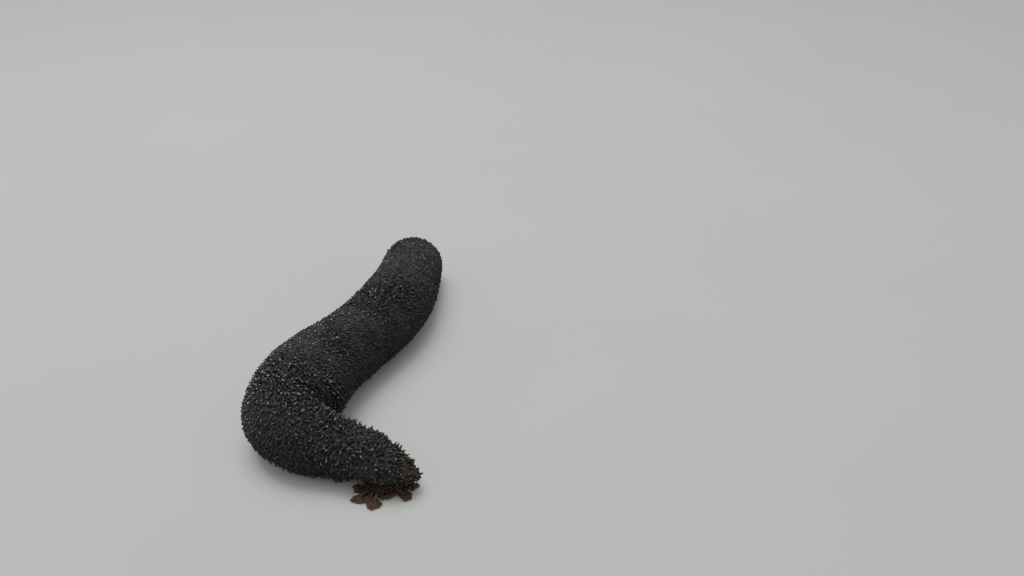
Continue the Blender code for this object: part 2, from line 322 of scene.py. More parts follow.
@dataclass(frozen=True)
class BodyForm:
    """The body's outside as the solids have it, out to the tips of the papillae.

    Attributes:
        lengths: The body's lengths from the hind end to the mouth end.
        turns: Each length's turn to the left, in degrees.
        half_widths: Half the width at the ends of those lengths.
        height_shares: Height as a share of the width at the hind tip, half way and at the front tip.
        hind_tip: Where the midline starts.
        hind_heading: Its heading there, in degrees from +X.
        turn_ease: How softly one length's turn passes into the next one's.
        middle_share: Height of a section's middle as a share of its own.
        lower_share: How far its ellipse reaches below that, before the floor cuts it.
        hind_rise: Height of the hind tip as a share of the middle's.
        front_rise: The same for the front tip.
        hind_cap: Length of the rounding at the hind tip.
        front_cap: The same for the front tip.
        inner_share: How near to its own middle a turn lets the inner side come.
        inner_power: How hard the side is held there.
        inner_ease: How far along the body a sharp turn is felt.
        fold_length_index: The length whose middle has the fold.
        fold_depth: Depth of the fold.
        fold_length: Its half width along the body.
        fold_climb: How soon it deepens from the side upwards.
        hollow_depth: Depth of the slight hollow on the inner flank.
        hollow_at: Its station.
        hollow_length: Its half width along the body.
        lift: How far the front tip's underside stands off the floor.
        lift_start: How far behind the front tip it leaves the floor.
        lift_full: How far behind the tip it reaches that height.
        midline_steps: Steps of the midline's running sums.
    """

    lengths: Floats = (0.040, 0.052, 0.054, 0.060, 0.032, 0.031, 0.027)
    turns: Floats = (4.0, -13.0, -18.0, 26.5, 81.0, -13.5, 20.0)
    half_widths: Floats = (0.0185, 0.0207, 0.0234, 0.0237, 0.0255, 0.0195, 0.0156, 0.0098)
    height_shares: Floats = (0.82, 0.85, 0.78)
    hind_tip: Pair = (0.0284, 0.1284)
    hind_heading: float = -95.5
    turn_ease: float = 1.5 * MM
    middle_share: float = 0.44
    lower_share: float = 0.48
    hind_rise: float = 0.8
    front_rise: float = 0.5
    hind_cap: float = 22.5 * MM
    front_cap: float = 16 * MM
    inner_share: float = 0.93
    inner_power: int = 8
    inner_ease: float = 8 * MM
    fold_length_index: int = 4
    fold_depth: float = 5 * MM
    fold_length: float = 7 * MM
    fold_climb: float = 2.0
    hollow_depth: float = 2.6 * MM
    hollow_at: float = 134 * MM
    hollow_length: float = 34 * MM
    lift: float = 4.4 * MM
    lift_start: float = 40 * MM
    lift_full: float = 28 * MM
    midline_steps: int = 2000

    @cached_property
    def ends(self) -> Array:
        """The stations where the lengths begin and end."""
        return np.concatenate([[0.0], np.cumsum(self.lengths)])

    @property
    def length(self) -> float:
        """The whole length along the midline."""
        return float(self.ends[-1])

    @cached_property
    def midline(self) -> tuple[Array, ...]:
        """Station, x, y, heading and the sharpest turn near each step of the midline.

        The turn per metre is each length's turn over its length, eased in and out by logistic curves. Its
        running sum is the heading, and the running sums of the heading's cosine and sine are x and y.
        """
        station = np.linspace(0.0, self.length, self.midline_steps)
        curvature = np.zeros_like(station)
        for length, turn, start, stop in zip(self.lengths, self.turns, self.ends[:-1], self.ends[1:]):
            begun = 1 / (1 + np.exp((start - station) / self.turn_ease))
            ended = 1 / (1 + np.exp((stop - station) / self.turn_ease))
            curvature += math.radians(turn) / length * (begun - ended)
        step = station[1] - station[0]
        heading = math.radians(self.hind_heading) + running_sum(curvature) * step
        x = self.hind_tip[0] + running_sum(np.cos(heading)) * step
        y = self.hind_tip[1] + running_sum(np.sin(heading)) * step
        reach = round(self.inner_ease / step)
        window = 2 * reach + 1
        padded = np.pad(curvature, reach, mode="edge")
        widened = np.lib.stride_tricks.sliding_window_view(padded, window).max(axis=1)
        eased = np.convolve(np.pad(widened, reach, mode="edge"), np.full(window, 1 / window), mode="valid")
        return station, x, y, heading, eased

    def on_midline(self, station: Array) -> tuple[Array, ...]:
        """The midline's x, y, heading and sharpest turn near a station."""
        return tuple(np.interp(station, self.midline[0], column) for column in self.midline[1:])

    def curve(self, station: Array, shares: Floats, values: Floats) -> Array:
        """A smooth curve at stations, through values given at shares of the length."""
        return smooth_between(station, np.array(shares) * self.length, np.array(values))

    def outside(self, station: Array, angle: Array) -> Array:
        """Points of the outside. Angle 0 is the left side and a quarter turn the back.

        A section is an ellipse whose lower half is cut level by the floor. Both tips close as quarter
        ellipses, and the inner side of a sharp turn is held short of the turn's own middle. The inner flank
        has a slight hollow, and a fold runs up from the notch of the bend: two bell curves along the body.

        Args:
            station: Places along the midline.
            angle: Angles round the section, broadcast with the stations.

        Returns:
            Points, with a last axis of 3.
        """
        x, y, heading, sharpest = self.on_midline(station)
        width = smooth_between(station, self.ends, np.array(self.half_widths))
        height = 2 * width * self.curve(station, (0.0, 0.5, 1.0), self.height_shares)
        hind = np.clip(station / self.hind_cap, 0.0, 1.0)
        front = np.clip((self.length - station) / self.front_cap, 0.0, 1.0)
        closed = np.sqrt(1 - (1 - hind) ** 2) * np.sqrt(1 - (1 - front) ** 2)
        left = width * closed * np.cos(angle)
        inner = np.maximum(sharpest * left, 0.0) / self.inner_share
        left = left / (1 + inner**self.inner_power) ** (1 / self.inner_power)
        hollow = self.hollow_depth * bell(station - self.hollow_at, self.hollow_length)
        left = left - hollow * smooth_step(np.cos(angle))
        rise = np.where(station < self.length / 2, self.hind_rise, self.front_rise)
        reach = np.where(np.sin(angle) > 0, 1 - self.middle_share, self.lower_share)
        middle = self.middle_share * height * (rise + (1 - rise) * closed)
        up = middle + reach * height * closed * np.sin(angle)
        fold_station = self.ends[self.fold_length_index : self.fold_length_index + 2].mean()
        along = bell(station - fold_station, self.fold_length)
        side = smooth_step(np.cos(angle)) * smooth_step(np.sin(angle) * self.fold_climb)
        up = np.maximum(up - self.fold_depth * along * side, 0.0)
        eased = (self.lift_start - (self.length - station)) / (self.lift_start - self.lift_full)
        floor = self.lift * smooth_step(eased)
        z = floor + (1 - floor / height) * up
        return np.stack(np.broadcast_arrays(x - left * np.sin(heading), y + left * np.cos(heading), z), -1)


def running_sum(values: Array) -> Array:
    """The running sum from 0, each step by the mean of its two ends."""
    return np.concatenate([[0.0], np.cumsum((values[1:] + values[:-1]) / 2)])


@dataclass
class SkinGrid:
    """A surface on a grid: rows from the hind pole to the front pole, columns round from the sole.

    Attributes:
        points: Rows, columns, 3.
        normals: The outward directions.
        station: Each row's place along the midline.
        along: Each row's distance from the hind pole over the surface.
        angle: Each column's angle round the section.
    """

    points: Array
    normals: Array
    station: Array
    along: Array
    angle: Array

    @property
    def shape(self) -> tuple[int, int]:
        """Rows and columns."""
        return self.points.shape[0], self.points.shape[1]

    def read(self, values: Array, row: Array, col: Array) -> Array:
        """Values between the grid points, mixed from the four around, with the columns closed round.

        Args:
            values: One value or vector for each grid point.
            row: Rows, with shares of a row.
            col: Columns, with shares of a column.

        Returns:
            One value or vector for each place.
        """
        above = np.clip(row.astype(int), 0, self.shape[0] - 2)
        beside = col.astype(int) % self.shape[1]
        down, right = row - above, col - np.floor(col)
        if values.ndim > 2:
            down, right = down[:, None], right[:, None]
        following = (beside + 1) % self.shape[1]
        near = blend(values[above, beside], values[above, following], right)
        far = blend(values[above + 1, beside], values[above + 1, following], right)
        return blend(near, far, down)

    def steps(self) -> tuple[Array, Array]:
        """The surface's step from row to row and from column to column, at each grid point."""
        across = (np.roll(self.points, -1, axis=1) - np.roll(self.points, 1, axis=1)) / 2
        return np.gradient(self.points, axis=0), across

    def station_at(self, row: Array) -> Array:
        """The place along the midline at rows with shares of a row."""
        return np.interp(row, np.arange(self.shape[0]), self.station)

    def angle_at(self, col: Array) -> Array:
        """The angle round the section at columns with shares of a column."""
        return np.interp(col, np.arange(self.shape[1]), self.angle)

    def moved(self, outwards: Array) -> "SkinGrid":
        """The same grid moved along its normals."""
        points = self.points + self.normals * outwards[..., None]
        return SkinGrid(points, self.normals, self.station, self.along, self.angle)


@dataclass(frozen=True)
class Skin:
    """The body's one skin, from the vent to the front tip.

    Attributes:
        form: The outside that the papillae reach.
        rows: Rings along the body.
        columns: Points of a ring.
        cap_steps: Stations tried on the rounding at each tip.
        middle_steps: Stations tried between those.
        normal_rounds: How often each normal is mixed with its neighbours'.
        pole_ring: Distance of the first and the last ring from the poles.
        coat_places: Where along the body the coat's depth is given, as shares.
        coat_depths: How far the skin lies inside the form there.
        flank_depth: The most that it does on the flanks.
        flank_slope: Downward part of the normal where the flanks begin, and the span until they are full.
        sole_depth: How far the skin lies above the floor.
        sole_slope: The same for the sole.
        lowest: The skin's least height.
        swell: Spread of the broad swellings.
        swell_reach: Their bell's width along and across, in cells.
        folds: Spread of the cross folds.
        fold_reach: Their bell's width.
        fold_turn: The midline's turn, in radians to the metre, that doubles the folds on its inner side.
        fold_gains: The least and the most that a turn adds to them.
        wrinkles: Spread of the wrinkles.
        wrinkle_reach: Their bell's width.
        pole_fade: How far from the poles all three are full.
        vent_depth: Depth of the vent.
        vent_width: Its half width.
        vent_rim: Height of its rim.
        vent_rim_at: Distance of the rim from the hind pole.
        vent_rim_share: Half width of the rim as a share of that.
        vent_puckers: Puckers round the rim.
        vent_pucker: Share of the rim's height that they take.
        front_rust: Length of the brown front.
        low_rust: Height of the brown foot of the flanks.
        rust_all: How brown the flesh is everywhere.
        rust_front: How much the front adds, and adds again low down.
        rust_low: How much the foot of the flanks adds.
        rust_patches: Spread of the patches.
        rust_reach: Their bell's width.
        map_margin: Free margin of the bake map.
        mound_cells: How many cells from its root a mound may reach.
    """

    form: BodyForm
    rows: int = 456
    columns: int = 214
    cap_steps: int = 400
    middle_steps: int = 1200
    normal_rounds: int = 4
    pole_ring: float = 0.35 * MM
    coat_places: Floats = (0.0, 0.25, 0.5, 0.7, 0.86, 0.94, 1.0)
    coat_depths: Floats = tuple(depth * MM for depth in (1.25, 1.3, 1.35, 1.6, 2.35, 2.1, 1.4))
    flank_depth: float = 1.35 * MM
    flank_slope: Pair = (-0.45, 0.7)
    sole_depth: float = 1.8 * MM
    sole_slope: Pair = (0.35, 0.4)
    lowest: float = 1.3 * MM
    swell: float = 0.45 * MM
    swell_reach: Pair = (13.0, 17.0)
    folds: float = 0.22 * MM
    fold_reach: Pair = (2.6, 11.0)
    fold_turn: float = 60.0
    fold_gains: Pair = (-0.6, 1.2)
    wrinkles: float = 0.08 * MM
    wrinkle_reach: Pair = (1.1, 2.4)
    pole_fade: float = 9 * MM
    vent_depth: float = 2.4 * MM
    vent_width: float = 2.0 * MM
    vent_rim: float = 0.6 * MM
    vent_rim_at: float = 4.0 * MM
    vent_rim_share: float = 0.45
    vent_puckers: int = 12
    vent_pucker: float = 0.4
    front_rust: float = 34 * MM
    low_rust: float = 11 * MM
    rust_all: float = 0.12
    rust_front: float = 0.3
    rust_low: float = 0.35
    rust_patches: float = 0.07
    rust_reach: Pair = (9.0, 12.0)
    map_margin: float = 0.004
    mound_cells: int = 3

    @cached_property
    def rng(self) -> Draws:
        """The skin's random draws."""
        return Seed.SKIN.draws()

    def even_stations(self) -> tuple[Array, Array]:
        """Stations at even steps over the surface, with their distance from the hind pole.

        The distance is the mean of those along the left side, the back and the right side.

        Returns:
            The stations, and each one's distance.
        """
        form = self.form
        quarter = np.linspace(0.0, math.pi / 2, self.cap_steps)
        hind = form.hind_cap * (1 - np.cos(quarter))
        front = form.length - form.front_cap * (1 - np.cos(quarter[::-1]))
        between = np.linspace(form.hind_cap, form.length - form.front_cap, self.middle_steps)[1:-1]
        fine = np.concatenate([hind, between, front])
        lines = form.outside(fine[:, None], np.array([0.0, 0.5, 1.0])[None, :] * math.pi)
        steps = np.linalg.norm(np.diff(lines, axis=0), axis=-1).mean(axis=1)
        distance = np.concatenate([[0.0], np.cumsum(steps)])
        along = np.linspace(self.pole_ring, distance[-1] - self.pole_ring, self.rows)
        return np.interp(along, distance, fine), along

    @cached_property
    def outer(self) -> SkinGrid:
        """The form itself on the skin's grid, with its normals evened out."""
        station, along = self.even_stations()
        angle = -math.pi / 2 + np.arange(self.columns) * 2 * math.pi / self.columns
        points = self.form.outside(station[:, None], angle[None, :])
        grid = SkinGrid(points, points, station, along, angle)
        onward, across = grid.steps()
        normals = unit(np.cross(across, onward))
        for _ in range(self.normal_rounds):
            beside = np.roll(normals, 1, axis=1) + np.roll(normals, -1, axis=1)
            fenced = np.pad(normals, ((1, 1), (0, 0), (0, 0)), mode="edge")
            normals = unit(2 * normals + beside + fenced[:-2] + fenced[2:])
        grid.normals = normals
        return grid

    def coat_depth(self) -> Array:
        """How far the skin lies inside the form: the coat's depth, less of it on the flanks, or the sole's.

        Returns:
            One depth for each grid point.
        """
        depth = self.form.curve(self.outer.station, self.coat_places, self.coat_depths)[:, None]
        downwards = -self.outer.normals[..., 2]
        depth = blend(depth, np.minimum(depth, self.flank_depth), ramp(downwards, *self.flank_slope))
        sole = ramp(downwards, *self.sole_slope)
        return blend(depth, np.full_like(sole, self.sole_depth), sole)

    def relief(self) -> Array:
        """Swellings, cross folds and wrinkles, which fade out at both poles, and the vent.

        The vent is a pit, a bell curve of the distance from the hind pole, inside a raised rim that
        puckers with the cosine of the angle round it.

        Returns:
            One height for each grid point.
        """
        shape, along = self.outer.shape, self.outer.along
        fade = smooth_step(along / self.pole_fade) * smooth_step(along[::-1] / self.pole_fade)
        sharpest = self.form.on_midline(self.outer.station)[3]
        inner = np.cos(self.outer.angle)[None, :] * sharpest[:, None] / self.fold_turn
        inner = np.clip(inner, *self.fold_gains)
        folding = self.folds * (1 + inner) * ripples(self.rng, shape, self.fold_reach)
        height = self.swell * ripples(self.rng, shape, self.swell_reach) + folding
        height = height + self.wrinkles * ripples(self.rng, shape, self.wrinkle_reach)
        height = height * fade[:, None]
        away = along[:, None]
        pit = -self.vent_depth * bell(away, self.vent_width)
        rim = bell(away - self.vent_rim_at, self.vent_rim_share * self.vent_rim_at)
        waves = np.cos(self.vent_puckers * self.outer.angle[None, :])
        pucker = 1 - self.vent_pucker + self.vent_pucker * waves
        return height + pit + self.vent_rim * rim * pucker

    @cached_property
    def base(self) -> SkinGrid:
        """The skin before the papillae raise it."""
        grid = self.outer.moved(-self.coat_depth() + self.relief())
        grid.points[..., 2] = np.maximum(grid.points[..., 2], self.lowest)
        return grid

    @cached_property
    def rust(self) -> Array:
        """How brown the flesh is: near the front tip, low on the flanks, and a little in patches."""
        tip = smooth_step(1 - (self.outer.along[-1] - self.outer.along) / self.front_rust)[:, None]
        low = smooth_step(1 - self.base.points[..., 2] / self.low_rust)
        patches = self.rust_patches * ripples(self.rng, self.outer.shape, self.rust_reach)
        front = (self.rust_front + self.rust_front * low) * tip
        return np.clip(self.rust_all + front + self.rust_low * low + patches, 0.0, 1.0)

    def map_place(self, row: Array, col: Array) -> Array:
        """A place on the bake map: the share along the body and the share round it, inside a margin."""
        place = np.stack(np.broadcast_arrays(row / (self.rows - 1), col / self.columns), -1)
        return self.map_margin + (1 - 2 * self.map_margin) * place

    def mounds(self, row: Array, col: Array, height: Array, width: Array) -> Array:
        """The skin's rise round the papillae's roots: the highest of their bell curves.

        Args:
            row: The roots' rows.
            col: Their columns.
            height: Each mound's height.
            width: Each mound's width.

        Returns:
            One height for each grid point.
        """
        raised = np.zeros(self.base.shape)
        roots = self.base.read(self.base.points, row, col)
        cells = range(-self.mound_cells, self.mound_cells + 1)
        for down in cells:
            for right in cells:
                i = np.clip(np.rint(row).astype(int) + down, 0, self.rows - 1)
                j = (np.rint(col).astype(int) + right) % self.columns
                away = np.linalg.norm(self.base.points[i, j] - roots, axis=-1)
                np.maximum.at(raised, (i, j), height * bell(away, width))
        return raised

    def build(self, grid: SkinGrid, material: bpy.types.Material) -> bpy.types.Object:
        """Makes the skin's mesh: a closed net of quads with a fan of triangles at each pole.

        Args:
            grid: The skin with the papillae's mounds.
            material: The skin's material.

        Returns:
            The skin, in place of the body's solids.
        """
        rows, columns = grid.shape
        row, col = np.meshgrid(np.arange(rows - 1), np.arange(columns), indexing="ij")
        beside = (col + 1) % columns
        here, there = row * columns, (row + 1) * columns
        quads = np.stack([here + col, here + beside, there + beside, there + col], -1).reshape(-1, 4)
        corner_rows = np.stack([row, row, row + 1, row + 1], -1)
        corner_cols = np.stack([col, col + 1, col + 1, col], -1)
        quad_uv = self.map_place(corner_rows, corner_cols).reshape(-1, 2)

        poles = np.stack([grid.points[0].mean(axis=0), grid.points[-1].mean(axis=0)])
        turn = np.arange(columns)
        onward = (turn + 1) % columns
        hind_pole, front_pole = rows * columns, rows * columns + 1
        last = (rows - 1) * columns
        hind_fan = np.stack([onward, turn, np.full(columns, hind_pole)], -1)
        front_fan = np.stack([last + turn, last + onward, np.full(columns, front_pole)], -1)
        half = turn + 0.5
        hind_uv = self.map_place(np.array([0, 0, -0.5]), np.stack([turn + 1, turn, half], -1))
        front_uv = self.map_place(rows - 1 + np.array([0, 0, 0.5]), np.stack([turn, turn + 1, half], -1))

        points = np.concatenate([grid.points.reshape(-1, 3), poles])
        uv = np.concatenate([quad_uv, hind_uv.reshape(-1, 2), front_uv.reshape(-1, 2)])
        rust = np.append(self.rust.ravel(), [self.rust[0].mean(), self.rust[-1].mean()])
        values = {RISE: np.zeros(len(points)), PALLOR: np.zeros(len(points)), RUST: rust}
        skin = Shell(points, [quads, hind_fan, front_fan], values, uv).make_object("skin", material)
        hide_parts(*(name for name in frame["nodes"] if name != CROWN_NODE))
        return finish_piece(skin)


def finish_piece(piece: bpy.types.Object) -> bpy.types.Object:
    """Lets a piece ride on the model's one body and reports it.

    Args:
        piece: The piece.

    Returns:
        The same piece.
    """
    (body,) = frame["bodies"]
    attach(piece, body)
    triangles = sum(len(polygon.vertices) - 2 for polygon in piece.data.polygons)
    log.info("%s: %d triangles", piece.name, triangles)
    return piece


def scatter(grid: SkinGrid, spacing: Array, wanted: Array, rng: Draws) -> tuple[Array, Array]:
    """Roots spread at random with none nearer to another than the spacing.

    Candidates fall on the cells in proportion to area over spacing squared. In their random order each
    that is left clears its surroundings of later ones, so this is a loop over roots, not points of a mesh.

    Args:
        grid: The surface.
        spacing: The least distance between roots, for each grid point.
        wanted: How much each grid point is wanted, from 0 to 1.
        rng: The random draws.

    Returns:
        The rows and the columns of the roots, with shares.
    """
    crowding = 6
    onward, across = grid.steps()
    area = np.linalg.norm(np.cross(across, onward), axis=-1)
    weight = (area / spacing**2 * wanted)[:-1]
    count = int(crowding * weight.sum())
    cell = rng.choice(weight.size, count, p=weight.ravel() / weight.sum())
    row, col = np.stack(np.divmod(cell, grid.shape[1])) + rng.random((2, count))
    points = grid.read(grid.points, row, col)
    reach = grid.read(spacing, row, col)
    tree = KDTree(count)
    for index, point in enumerate(points):
        tree.insert(point, index)
    tree.balance()
    kept = np.ones(count, bool)
    for index in range(count):
        if kept[index]:
            near = [other for _, other, _ in tree.find_range(points[index], reach[index])]
            kept[[other for other in near if other > index]] = False
    return row[kept], col[kept]


@dataclass(frozen=True)
class Growth:
    """The shape that all growths of one kind share, from root to tip.

    Attributes:
        rises: Height of the path's points as shares of the whole, the first and last of them poles.
        widths: Width of the rings between as shares of the root's radius.
        sides: Points of a ring.
        sink: How deep the root reaches into the skin.
        patch: Width of a growth's patch on the bake map.
    """

    rises: Floats
    widths: Floats
    sides: int
    sink: float
    patch: float = 0.003

    def grow(
        self,
        roots: Array,
        axis: Array,
        hint: Array,
        bend: Array,
        height: Array,
        radius: Array,
        taper: Array,
        values: dict[str, Array],
        place: Array,
    ) -> Shell:
        """Grows one tube on each root: path = root + axis h t + bend h t^2.

        Args:
            roots: The roots on the skin.
            axis: Each growth's direction at its root.
            hint: A direction roughly square to it.
            bend: How far its tip leans, as a share of its height.
            height: Each growth's height.
            radius: Each root's radius.
            taper: The power that each growth's widths are raised to: over 1 makes it more pointed.
            values: One value for each growth, by name.
            place: Each root's place on the bake map.

        Returns:
            All growths in one shell.
        """
        share = np.array(self.rises)[None, :, None]
        tall = height[:, None, None]
        paths = roots[:, None] + axis[:, None] * tall * share + bend[:, None] * tall * share**2
        paths[:, :2] -= axis[:, None] * self.sink
        side = unit(hint - axis * (hint * axis).sum(-1, keepdims=True))
        up = np.cross(axis, side)
        radii = radius[:, None] * np.array(self.widths)[None, :] ** taper[:, None]
        steps = paths.shape[:2]
        held = {name: np.broadcast_to(value[:, None], steps) for name, value in values.items()}
        held[RISE] = np.broadcast_to(np.clip(share[..., 0], 0.0, 1.0), steps)
        return sweep(paths, radii, side[:, None], up[:, None], self.sides, held, place, self.patch)


PAPILLA = Growth(
    rises=(0.0, 0.0, 0.18, 0.38, 0.60, 0.80, 0.94, 1.0),
    widths=(1.0, 0.79, 0.62, 0.51, 0.40, 0.25),
    sides=7,
    sink=0.35 * MM,
)
TUBE_FOOT = Growth(
    rises=(0.0, 0.0, 0.3, 0.62, 0.84, 0.97, 1.0, 0.93),
    widths=(1.25, 1.0, 0.88, 1.0, 1.42, 1.25),
    sides=8,
    sink=0.4 * MM,
)


@dataclass(frozen=True)
class Speckles:
    """How pale the papillae's tips are: most hardly, a few very, in patches, and less on the flanks, where
    painted shade dims them.

    Attributes:
        skin: The skin that the papillae grow on.
        least: Pallor of the darkest tips.
        span: How much more the palest have.
        rarity: The power of an even draw, which makes pale tips rare.
        hind_rarity: How much that power grows towards the hind end.
        hind_from: Share of the body from the hind end where it begins to grow.
        hind_ease: The share of the body over which it grows.
        patch_mean: Mean of the patches' factor.
        patch_spread: Its spread.
        patch_reach: The patches' bell's width along and across, in cells.
        patch_range: The least and the greatest factor.
        shaded_side_pallor: What is left of the pallor where the skin looks down, as painted shade on the
            lower flanks.
        shaded_side_slope: Upward part of the normal where the pallor begins to grow out of that painted
            shade, and the span until it is full.
        inner_loss: Share of the pallor that the inner flank loses.
        front_loss: Share of it that the front loses.
    """

    skin: Skin
    least: float = 0.05
    span: float = 0.85
    rarity: float = 2.6
    hind_rarity: float = 4.4
    hind_from: float = 0.72
    hind_ease: float = 0.38
    patch_mean: float = 0.85
    patch_spread: float = 0.2
    patch_reach: Pair = (14.0, 12.0)
    patch_range: Pair = (0.3, 1.3)
    shaded_side_pallor: float = 0.4
    shaded_side_slope: Pair = (-0.1, 0.7)
    # inner_loss: Share of the pallor that the inner flank loses, as painted shade.
    inner_loss: float = 0.6
    front_loss: float = 0.4

    def over(self, row: Array, col: Array, inner: Array, forward: Array, draw: Array) -> Array:
        """The papillae's pallors: least + span draw^rarity, by the factors of patches, painted shade on the
        flanks, and front.

        Args:
            row: The roots' rows.
            col: Their columns.
            inner: 1 on the inner flank, where the tips get painted shade.
            forward: 1 at the front.
            draw: One even draw for each papilla.

        Returns:
            One pallor for each papilla.
        """
        waves = ripples(Seed.SPECKLES.draws(), self.skin.base.shape, self.patch_reach)
        patches = np.clip(self.patch_mean + self.patch_spread * waves, *self.patch_range)
        hind = smooth_step((self.hind_from - row / self.skin.rows) / self.hind_ease)
        pale = self.least + self.span * draw ** (self.rarity + self.hind_rarity * hind)
        # Painted shade: the tips are dimmed where the skin's normal turns downwards.
        up = ramp(self.skin.base.normals[..., 2], *self.shaded_side_slope)
        painted_shade = self.shaded_side_pallor + (1 - self.shaded_side_pallor) * up
        pale = pale * self.skin.base.read(patches * painted_shade, row, col)
        # Painted shade: the inner flank's tips lose pallor.
        return np.clip(pale * (1 - self.inner_loss * inner), 0.0, 1.0) * (1 - self.front_loss * forward)


@dataclass(frozen=True)
class Papillae:
    """The coat: soft cones all over the back and the flanks.

    Attributes:
        skin: The skin that they grow on.
        crown: The crown, whose neck they leave free.
        places: Where along the body their spacing is given, as shares.
        spacings: The least distance between two roots there.
        pieces: How many pieces they are dealt out to, each over the whole body.
        vent_clearing: How far from the hind pole they begin.
        foot: Height where they begin on the flanks, and the span until they are dense.
        under_slope: Upward part of the normal where they begin, and the span until they are dense.
        collar: Station, from the front tip, where they begin underneath, and the span until they are dense.
        neck_radius: Radius of the crown's neck, which they leave free.
        inner_end: Number of the length where the inner flank ends.
        inner_ease: How far before it the low papillae are lowest.
        inner_side: The angle's cosine where that flank begins, and the span until it is full.
        front: Number of the length where the front begins.
        front_ease: The span until it is full.
        tall_share: Share of them that reach the form's outside.
        tall_loss: How much less that is at the front.
        tall_lengths: Their least and greatest length, as a share of the coat's depth.
        short_lengths: The same for the others.
        short_loss: How much less that is at the front.
        depths: The least and the greatest depth that those are shares of.
        inner_loss: Share of the length that they lose on the inner flank.
        low_loss: Share that they lose low down.
        low_height: The height below which they do.
        width_share: Root radius as a share of the spacing.
        front_width: How much wider they are at the front.
        tall_width: The width's factor for the tall ones.
        short_width: Its factor for the others.
        width_range: The least and the greatest factor by chance.
        mound_height: Height of the skin's mound round a root, as a share of the papilla's.
        mound_width: Its half width in root radii.
        taper: The power of their widths.
        front_taper: How much more that is at the front.
        taper_spread: How far it varies.
        tilt: How far they stray from the skin's normal.
        front_lean: How far those at the front lean forwards.
        curl: How far their tips bend aside.
        lowest: The least height of their points.
    """

    skin: Skin
    crown: "FeelerCrown"
    places: Floats = (0.0, 0.3, 0.6, 0.75, 0.9, 1.0)
    spacings: Floats = (1.55 * MM, 1.55 * MM, 1.50 * MM, 1.48 * MM, 1.60 * MM, 1.48 * MM)
    pieces: int = 4
    vent_clearing: float = 4.6 * MM
    foot: Pair = (2.5 * MM, 1.5 * MM)
    under_slope: Pair = (-0.93, 0.25)
    collar: Pair = (-36 * MM, 8 * MM)
    neck_radius: float = 6.2 * MM
    inner_end: int = 4
    inner_ease: float = 25 * MM
    inner_side: Pair = (0.35, 0.5)
    front: int = 5
    front_ease: float = 30 * MM
    tall_share: float = 0.5
    tall_loss: float = 0.17
    tall_lengths: Pair = (0.88, 1.06)
    short_lengths: Pair = (0.62, 0.86)
    short_loss: float = 0.25
    depths: Pair = (0.9 * MM, 4.2 * MM)
    inner_loss: float = 0.3
    low_loss: float = 0.25
    low_height: float = 9 * MM
    width_share: float = 0.46
    front_width: float = 0.20
    tall_width: float = 1.12
    short_width: float = 0.9
    width_range: Pair = (0.85, 1.15)
    mound_height: float = 0.2
    mound_width: float = 1.15
    taper: float = 0.85
    front_taper: float = 0.2
    taper_spread: float = 0.15
    tilt: float = 0.28
    front_lean: float = 0.12
    curl: float = 0.42
    lowest: float = 0.2 * MM

    @cached_property
    def rng(self) -> Draws:
        """The papillae's random draws."""
        return Seed.PAPILLAE.draws()

    @cached_property
    def spacing(self) -> Array:
        """The least distance between roots at each point of the skin."""
        along = self.skin.form.curve(self.skin.base.station, self.places, self.spacings)
        return np.repeat(along[:, None], self.skin.columns, axis=1)

    @cached_property
    def roots(self) -> tuple[Array, Array]:
        """Rows and columns of the roots: everywhere but on the sole, round the vent and on the neck.

        Where the underside stands off the floor they grow on it too, as a collar round the mouth.
        """
        base = self.skin.base
        upwards = base.normals[..., 2]
        clear = ramp(base.points[..., 2], *self.foot)
        flank = ramp(upwards, *self.under_slope)
        lifted = ramp(base.station - self.skin.form.length, *self.collar)
        middle, _ = self.crown.centre()
        beside = np.linalg.norm((base.points - middle)[..., :2], axis=-1) > self.neck_radius
        under = beside | (upwards > 0)
        vent = (base.along > self.vent_clearing)[:, None]
        wanted = clear * np.maximum(flank, lifted[:, None]) * under * vent
        return scatter(base, self.spacing, wanted, self.rng)

    @cached_property
    def inner(self) -> Array:
        """1 for roots on the left flank behind the bend, where papillae are low and their tips darkened by
        painted shade, else 0.
        """
        row, col = self.roots
        station = self.skin.base.station_at(row)
        behind = smooth_step((self.skin.form.ends[self.inner_end] - station) / self.inner_ease)
        return behind * ramp(np.cos(self.skin.base.angle_at(col)), *self.inner_side)

    @cached_property
    def forward(self) -> Array:
        """0 for roots up to the bend, easing to 1 towards the front tip."""
        station = self.skin.base.station_at(self.roots[0])
        return ramp(station, self.skin.form.ends[self.front], self.front_ease)

    @cached_property
    def sizes(self) -> tuple[Array, Array]:
        """Height and root radius of each papilla.

        Half of them reach the form's outside, and a third near the front, where the others are smaller.
        All are shorter low on the flanks and on the inner flank.
        """
        row, col = self.roots
        base = self.skin.base
        gap = np.linalg.norm(self.skin.outer.points - base.points, axis=-1)
        reach = np.clip(base.read(gap, row, col), *self.depths)
        count = len(row)
        tall = self.rng.random(count) < self.tall_share - self.tall_loss * self.forward
        short = self.rng.uniform(*self.short_lengths, count) - self.short_loss * self.forward
        share = np.where(tall, self.rng.uniform(*self.tall_lengths, count), short)
        low = smooth_step(1 - base.read(base.points[..., 2], row, col) / self.low_height)
        height = reach * share * (1 - self.inner_loss * self.inner) * (1 - self.low_loss * low)
        wide = self.width_share * (1 + self.front_width * self.forward)
        wide = wide * np.where(tall, self.tall_width, self.short_width)
        radius = base.read(self.spacing, row, col) * wide * self.rng.uniform(*self.width_range, count)
        return height, radius

    def mounds(self) -> Array:
        """The skin's rise round the roots."""
        height, radius = self.sizes
        return self.skin.mounds(*self.roots, self.mound_height * height, self.mound_width * radius)

